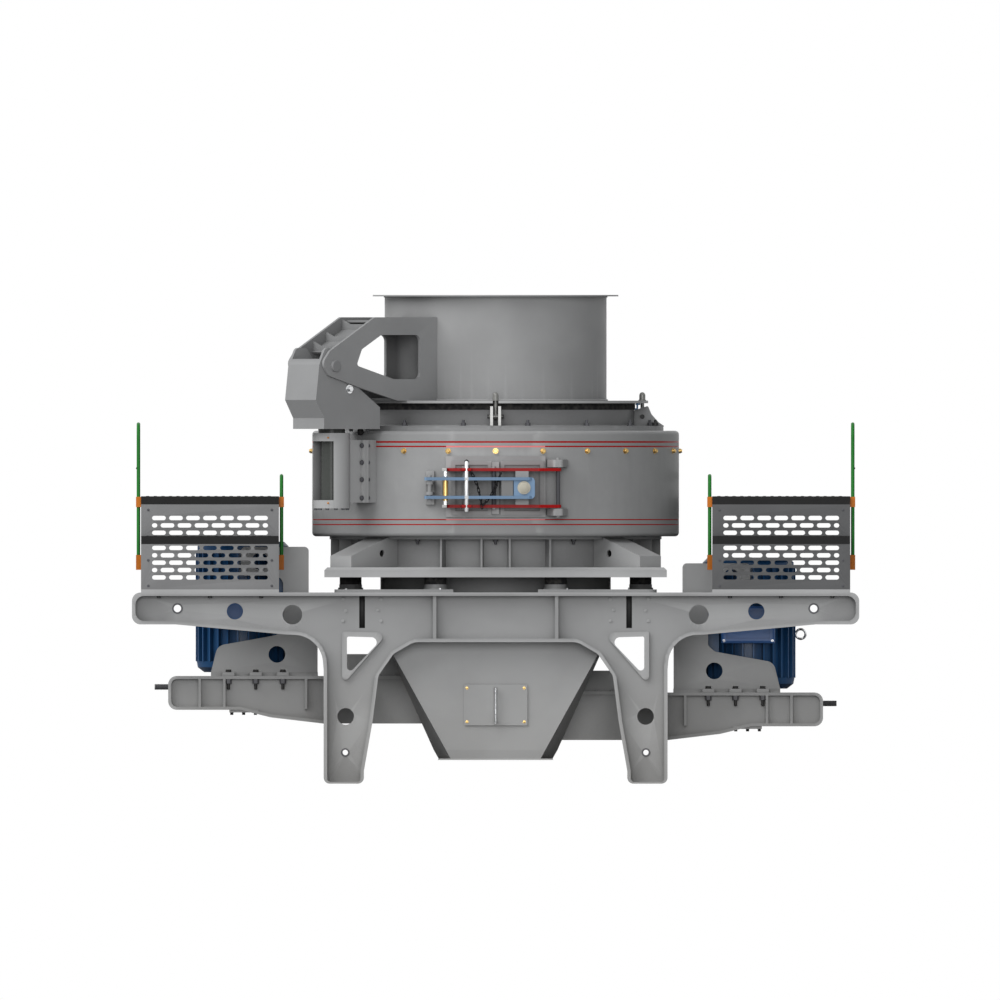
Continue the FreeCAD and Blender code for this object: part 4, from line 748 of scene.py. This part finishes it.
DRIVES = {"left": (-1, 0.0, 0.717), "right": (1, -0.113, 0.611)}
enamel = sprayed("dark_blue_enamel", (0.012, 0.068, 0.178), 0.36, 0.05, 0.15)
box_enamel = sprayed("box_blue_enamel", (0.045, 0.125, 0.34), 0.36, 0.06, 0.2)
dress(grey_paint, "motor_seat_left", "motor_seat_right", "motor_bracket_left", "motor_bracket_right")
dress(enamel, "motor_left", "motor_right")
dress(box_enamel, "terminal_boxes")
dress(grey_paint, "belt_guard_left", "belt_guard_right")
MOTOR_X = 1.730
SEAT_TOP = 0.738
FLANGE_THICK = 0.0205
BRACKET_BOLTS_X = (1.457, 1.643, 1.830)
BRACKET_BOLTS_Y = 0.592
LUG_HALF = 0.042
LUG_Y = (0.420, 0.613)
LUG_THICK = 0.026
LOCKNUT = [(0.0225, 0), (0.0225, 0.030), (0.018, 0.033)]
BOLT_END = [(0.0110, 0.033), (0.0110, 0.069), (0.008, 0.072)]
ROD_X = 2.197
ROD_DROP = 0.075
THREADS = 34
PITCH = 0.004
THREAD = [(0.0182, 0), (0.0198, PITCH / 2), (0.0182, PITCH)]
ROD_NUT = [(0.03, 0.002), (0.034, 0.005), (0.034, 0.028), (0.03, 0.031)]
COWL_Z = 1.658
COWL_STEP = 0.018
COWL_BOLT_CIRCLE = 0.285
EYE_Z = 1.138
EYE_SHANK = [(0.024, 0), (0.024, 0.016), (0.016, 0.022), (0.014, 0.030)]
BOX_FRONT = -0.4295
BOX_SCREWS_Z = (1.093, 1.312)
GUARD_BOLTS_Y = 0.369
SEAT_FOOT_Z = 0.506
SEAT_FOOT_X = (1.624, 1.824)
SEAT_FOOT_Y = (0.350, 0.600)
SEAT_FOOT_THICK = 0.018
for side_name, (side, drop, guard_lip) in DRIVES.items():
    top = SEAT_TOP + drop
    outward = Vector((side, 0, 0))
    motor = outward * MOTOR_X
    places = []
    nuts = bmesh.new()
    ends = bmesh.new()
    lugs = bmesh.new()
    for x in BRACKET_BOLTS_X:
        for end in (-1, 1):
            at = Vector((side * x, end * BRACKET_BOLTS_Y, top))
            places.append((at + UP * LUG_THICK, UP))
            y0, y1 = sorted(end * y for y in LUG_Y)
            add_box(lugs, (at.x - LUG_HALF, y0, top), (at.x + LUG_HALF, y1, top + LUG_THICK), 0.004)
            at -= UP * FLANGE_THICK
            add_lathe(nuts, at, -UP, LOCKNUT, 6)
            add_lathe(ends, at, -UP, BOLT_END, 16)
    bolts("bracket_bolts_" + side_name, places, 0.022, black_steel)
    piece("bracket_lugs_" + side_name, lugs, grey_paint)
    piece("bracket_nuts_" + side_name, nuts, oiled)
    piece("bracket_bolt_ends_" + side_name, ends, black_steel)

    rod = outward * ROD_X + UP * (top - ROD_DROP)
    mesh = bmesh.new()
    for i in range(THREADS):
        add_lathe(mesh, rod + outward * PITCH * i, outward, THREAD, 16)
    piece("rod_thread_" + side_name, mesh, oiled)
    mesh = bmesh.new()
    add_lathe(mesh, rod, outward, ROD_NUT, 6)
    piece("rod_nut_" + side_name, mesh, zinc)

    cowl = motor + UP * (COWL_Z + drop)
    mesh = bmesh.new()
    for turn in range(45, 360, 90):
        add_bolt(mesh, cowl + polar(COWL_BOLT_CIRCLE, turn, -COWL_STEP), UP, 0.012)
    for radius in (0.09, 0.15, 0.21):
        add_torus(mesh, cowl + UP * 0.001, Matrix.Identity(4), radius, 0.004, 0.0, 40, 6)
    for turn in range(0, 360, 60):
        add_lathe(mesh, cowl + polar(0.03, turn, 0.001), polar(1, turn), [(0.003, 0), (0.003, 0.20)], 6)
    add_lathe(mesh, cowl, UP, [(0.03, 0), (0.03, 0.004), (0.024, 0.006)])
    piece("cowl_grille_" + side_name, mesh, enamel)
    eye = motor + outward * 0.300 + UP * (EYE_Z + drop)
    mesh = bmesh.new()
    add_lathe(mesh, eye, outward, EYE_SHANK, 20)
    add_torus(mesh, eye + outward * 0.060, turning((0, 1, 0)), 0.033, 0.008)
    piece("lifting_eye_" + side_name, mesh, chrome)
    mesh = bmesh.new()
    for x in (-0.166, 0.166):
        for z in BOX_SCREWS_Z:
            add_bolt(mesh, (motor.x + x, BOX_FRONT, z + drop), FRONT, 0.008)
    piece("box_screws_" + side_name, mesh, zinc)

    places = []
    for i in range(11):
        for y in (-GUARD_BOLTS_Y, GUARD_BOLTS_Y):
            places.append(((side * (0.06 + 0.105 * i), y, guard_lip + 0.022), UP))
    bolts("guard_bolts_" + side_name, places, 0.010, grey_paint)
    low = SEAT_FOOT_Z + drop - SEAT_FOOT_THICK
    places = [((side * x, y, low), -UP) for x in (1.645, 1.726, 1.807) for y in (-0.40, 0.40)]
    bolts("seat_foot_bolts_" + side_name, places, 0.0125, black_steel, stand=1.8)
    mesh = bmesh.new()
    x0, x1 = sorted(side * x for x in SEAT_FOOT_X)
    for end in (-1, 1):
        y0, y1 = sorted(end * y for y in SEAT_FOOT_Y)
        add_box(mesh, (x0, y0, low), (x1, y1, low + SEAT_FOOT_THICK + 0.001), 0.003)
    piece("seat_foot_plates_" + side_name, mesh, grey_paint)

# Discharge chutes
# Two tapering chutes of folded plate drop the product on either side of the belts.
# Each has a bolted inspection cover with brass screws and a bright bar handle.

# The chutes take a lighter grey than the base paint: painted light.
chute_lit_paint = sprayed("chute_painted_light_grey", (0.345, 0.348, 0.350))
dress(chute_lit_paint, "discharge_chute_front", "discharge_chute_back", "chute_covers")
CHUTE_FOOT = (0.950, 0.231)
CHUTE_LEAN = 0.030 / 0.659
HANDLE = [(0.008, -0.002), (0.0105, 0.0), (0.0105, 0.244), (0.008, 0.246)]
for end, end_name in ((-1, "front"), (1, "back")):
    def on_chute(x, stand, z):
        """A point before a chute's leaning face: across, off the face, and up."""
        y = CHUTE_FOOT[0] + (z - CHUTE_FOOT[1]) * CHUTE_LEAN + stand
        return Vector((x, end * y, z))

    mesh = bmesh.new()
    for x in (-0.196, 0.196):
        for z in (0.424, 0.655):
            add_bolt(mesh, on_chute(x, 0.013, z), (0, end, 0), 0.0095, 0.8)
    piece("cover_screws_" + end_name, mesh, brass)
    mesh = bmesh.new()
    foot = on_chute(0, 0.054, 0.416)
    add_lathe(mesh, foot, on_chute(0, 0.054, 0.66) - foot, HANDLE, 20)
    piece("cover_handle_" + end_name, mesh, chrome)

# Step platforms
# Each motor has a two-step platform over it: slotted sheet risers under black chequered treads.
# The sheets are punched and painted; the treads have raised lozenges on a rubbery black coat.

dress(grey_paint, "step_sides_left", "step_sides_right", "step_strips", "lower_risers", "upper_risers")
# The risers take a darker grey than the base paint, and darker still on the right: painted shade.
shaded_side = ((0, -3, 0), (3, 3, 4), (0.080, 0.081, 0.083))
riser_shade_paint = sprayed("riser_painted_shade_grey", (0.165, 0.166, 0.168), zones=(shaded_side,))
black_tread = sprayed("black_tread_coat", (0.011, 0.011, 0.011), 0.6, 0.04, sheen=0.12)
dress(black_tread, "step_treads", "step_deck_left", "step_deck_right")
green_paint = sprayed("green_rail_paint", (0.016, 0.16, 0.022), 0.36, 0.05)
orange_paint = sprayed("orange_socket_paint", (0.42, 0.12, 0.006), 0.4, 0.05)
dress(green_paint, "guard_rails_left", "guard_rails_right")
dress(orange_paint, "rail_sockets")
STEP_IN = 1.484
STEP_OUT = 2.429
STEP_FRONT = 1.170
STEP_GOING = 0.300
UPPER_FRONT = STEP_FRONT - STEP_GOING
TREAD_Z = 1.697
DECK_Z = 1.969
NOSING = 0.056
SLOT = (0.094, 0.030)
SLOT_PITCH = 0.1165
SLOT_ROW = 0.0505
SLOT_REACH = 3 * SLOT_PITCH + 0.048
SHEET = 0.006


def slotted_sheet(name, side, y, low, high, first_row, rows):
    """A punched riser: a filled curve with round-ended slots in staggered rows, turned upright."""
    curve = bpy.data.curves.new(name, "CURVE")
    curve.dimensions = "2D"
    curve.fill_mode = "BOTH"
    curve.extrude = SHEET / 2

    def outline(points):
        spline = curve.splines.new("POLY")
        spline.points.add(len(points) - 1)
        for point, (u, v) in zip(spline.points, points):
            point.co = (u, v, 0, 1)
        spline.use_cyclic_u = True

    middle = (STEP_IN + STEP_OUT) / 2
    half = (STEP_OUT - STEP_IN) / 2
    outline([(-half, low), (half, low), (half, high), (-half, high)])
    r = SLOT[1] / 2
    arc = [math.radians(a) for a in range(-90, 91, 30)]
    for row in range(rows):
        z = first_row - SLOT_ROW * row
        count = 7 + row % 2
        for i in range(count):
            slot_middle = (i - (count - 1) / 2) * SLOT_PITCH
            left = max(slot_middle - SLOT[0] / 2, -SLOT_REACH)
            right = min(slot_middle + SLOT[0] / 2, SLOT_REACH)
            points = [(right - r + r * math.cos(a), z + r * math.sin(a)) for a in arc]
            points += [(left + r - r * math.cos(a), z - r * math.sin(a)) for a in arc]
            outline(points)
    holder = bpy.data.objects.new(name, curve)
    bpy.context.scene.collection.objects.link(holder)
    bpy.context.view_layer.update()
    filled = holder.evaluated_get(bpy.context.evaluated_depsgraph_get())
    mesh = bmesh.new()
    mesh.from_mesh(bpy.data.meshes.new_from_object(filled))
    mesh.transform(Matrix.Translation((side * middle, y, 0)) @ Matrix.Rotation(math.radians(90), 4, "X"))
    bpy.data.objects.remove(holder)
    bmesh.ops.remove_doubles(mesh, verts=mesh.verts, dist=1e-5)
    return mesh


LEVELS = {"lower": (STEP_FRONT - SHEET / 2, 1.331, TREAD_Z - NOSING, 1.615, 5),
          "upper": (UPPER_FRONT - SHEET / 2, TREAD_Z, DECK_Z - NOSING, 1.820, 3)}
for level, (y, low, high, first_row, rows) in LEVELS.items():
    whole = bmesh.new()
    for side in (-1, 1):
        for end in (-1, 1):
            part = slotted_sheet("riser", side, end * y, low, high, first_row, rows)
            data = bpy.data.meshes.new("riser")
            part.to_mesh(data)
            part.free()
            whole.from_mesh(data)
    sheet = piece(level + "_slotted_risers", whole, riser_shade_paint)
    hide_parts(level + "_risers")


def add_lozenges(mesh, x0, x1, y0, y1, z):
    """Adds raised tread bars, turned alternately left and right, over a rectangle."""
    pitch = 0.052
    for i in range(int((x1 - x0) / pitch)):
        for j in range(int((y1 - y0) / pitch)):
            x = x0 + pitch * (i + 0.5)
            y = y0 + pitch * (j + 0.5)
            turn = 45 if (i + j) % 2 else -45
            along = polar(0.019, turn)
            side = polar(0.006, turn + 90)
            points = [along, side, -along, -side, along * 0.6 + UP * 0.0022, -along * 0.6 + UP * 0.0022]
            verts = [mesh.verts.new(Vector((x, y, z)) + p) for p in points]
            for corners in ((0, 1, 4), (1, 2, 5, 4), (2, 3, 5), (3, 0, 4, 5), (3, 2, 1, 0)):
                mesh.faces.new([verts[k] for k in corners])


EDGE = 0.02
mesh = bmesh.new()
for side in (-1, 1):
    x0, x1 = sorted((side * STEP_IN, side * STEP_OUT))
    for y0, y1, z in ((-UPPER_FRONT, UPPER_FRONT, DECK_Z), (-STEP_FRONT, -UPPER_FRONT, TREAD_Z),
                      (UPPER_FRONT, STEP_FRONT, TREAD_Z)):
        add_lozenges(mesh, x0 + EDGE, x1 - EDGE, y0 + EDGE, y1 - EDGE, z)
piece("tread_lozenges", mesh, black_tread)

RISER_SCREWS = ((STEP_FRONT, 1.355), (STEP_FRONT, 1.530), (UPPER_FRONT, 1.875))
STRIP_BOLTS_X = (1.606, 1.956, 2.307)
places = []
for side in (-1, 1):
    for end in (-1, 1):
        for x in (STEP_IN + 0.049, STEP_OUT - 0.050):
            for y, z in RISER_SCREWS:
                places.append(((side * x, end * y, z), (0, end, 0)))
bolts("riser_screws", places, 0.009, oiled, stand=0.5)
places = []
for side in (-1, 1):
    for end in (-1, 1):
        for x in STRIP_BOLTS_X:
            places.append(((side * x, end * 1.135, 1.286), -UP))
bolts("strip_bolts", places, 0.016, black_steel)
places = []
for side in (-1, 1):
    for y in (-0.8, 0.0, 0.8):
        places.append(((side * (STEP_OUT + 0.0275), y, 2.161), (side, 0, 0)))
bolts("rail_pins", places, 0.008, black_steel)

# Studio
# A mid-grey floor, a soft key light from the upper left, one from the front and a faint sky; the
# background is white. The camera looks straight along +Y with no perspective, as the picture does.

MM_PER_PIXEL = 6.85
FRAME_PIXELS = 1000
AXIS_PIXEL = (495.6, 783.7)
bpy.ops.mesh.primitive_plane_add(size=60.0, location=(0, 0, -0.0005))
floor = bpy.context.object
floor.name = "studio_floor"
ground = Finish("studio_floor", **{"Base Color": (0.30, 0.30, 0.30, 1), "Roughness": 0.9})
floor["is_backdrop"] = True
floor.data.materials.append(ground.material)
world = bpy.data.worlds.new("surround")
bpy.context.scene.world = world
world.use_nodes = True
tree = world.node_tree
tree.nodes.clear()
rays = tree.nodes.new("ShaderNodeLightPath")
seen = rays.outputs["Is Camera Ray"]
for kind in ("Is Glossy Ray", "Is Transmission Ray"):
    either = tree.nodes.new("ShaderNodeMath")
    either.operation = "MAXIMUM"
    tree.links.new(seen, either.inputs[0])
    tree.links.new(rays.outputs[kind], either.inputs[1])
    seen = either.outputs["Value"]
surround = tree.nodes.new("ShaderNodeBackground")
surround.inputs["Color"].default_value = (0.93, 0.96, 1.0, 1)
surround.inputs["Strength"].default_value = 0.16
white = tree.nodes.new("ShaderNodeBackground")
white.inputs["Color"].default_value = (1, 1, 1, 1)
white.inputs["Strength"].default_value = 1.0
blend = tree.nodes.new("ShaderNodeMixShader")
out = tree.nodes.new("ShaderNodeOutputWorld")
tree.links.new(seen, blend.inputs[0])
tree.links.new(surround.outputs[0], blend.inputs[1])
tree.links.new(white.outputs[0], blend.inputs[2])
tree.links.new(blend.outputs[0], out.inputs[0])


def sun(name, towards, strength, angle):
    """Adds a distant light that shines in a direction; angle sets how soft its shadows are."""
    lamp = bpy.data.lights.new(name, "SUN")
    lamp.energy = strength
    lamp.angle = math.radians(angle)
    made = bpy.data.objects.new(name, lamp)
    made.rotation_mode = "QUATERNION"
    made.rotation_quaternion = Vector(towards).to_track_quat("-Z", "Y")
    bpy.context.scene.collection.objects.link(made)


sun("key", (0.60, 0.42, -0.68), 2.5, 60)
sun("front", (0.0, 1.0, -0.10), 1.65, 30)
camera_data = bpy.data.cameras.new("camera")
camera_data.type = "ORTHO"
camera_data.ortho_scale = MM_PER_PIXEL * FRAME_PIXELS / 1000
camera = bpy.data.objects.new("camera", camera_data)
bpy.context.scene.collection.objects.link(camera)
centre_x = (FRAME_PIXELS / 2 - AXIS_PIXEL[0]) * MM_PER_PIXEL / 1000
centre_z = (AXIS_PIXEL[1] - FRAME_PIXELS / 2) * MM_PER_PIXEL / 1000
camera.location = (centre_x, -14.0, centre_z)
camera.rotation_euler = (math.radians(90), 0, 0)
bpy.context.scene.camera = camera
bpy.context.scene.view_settings.view_transform = "Standard"

low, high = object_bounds()
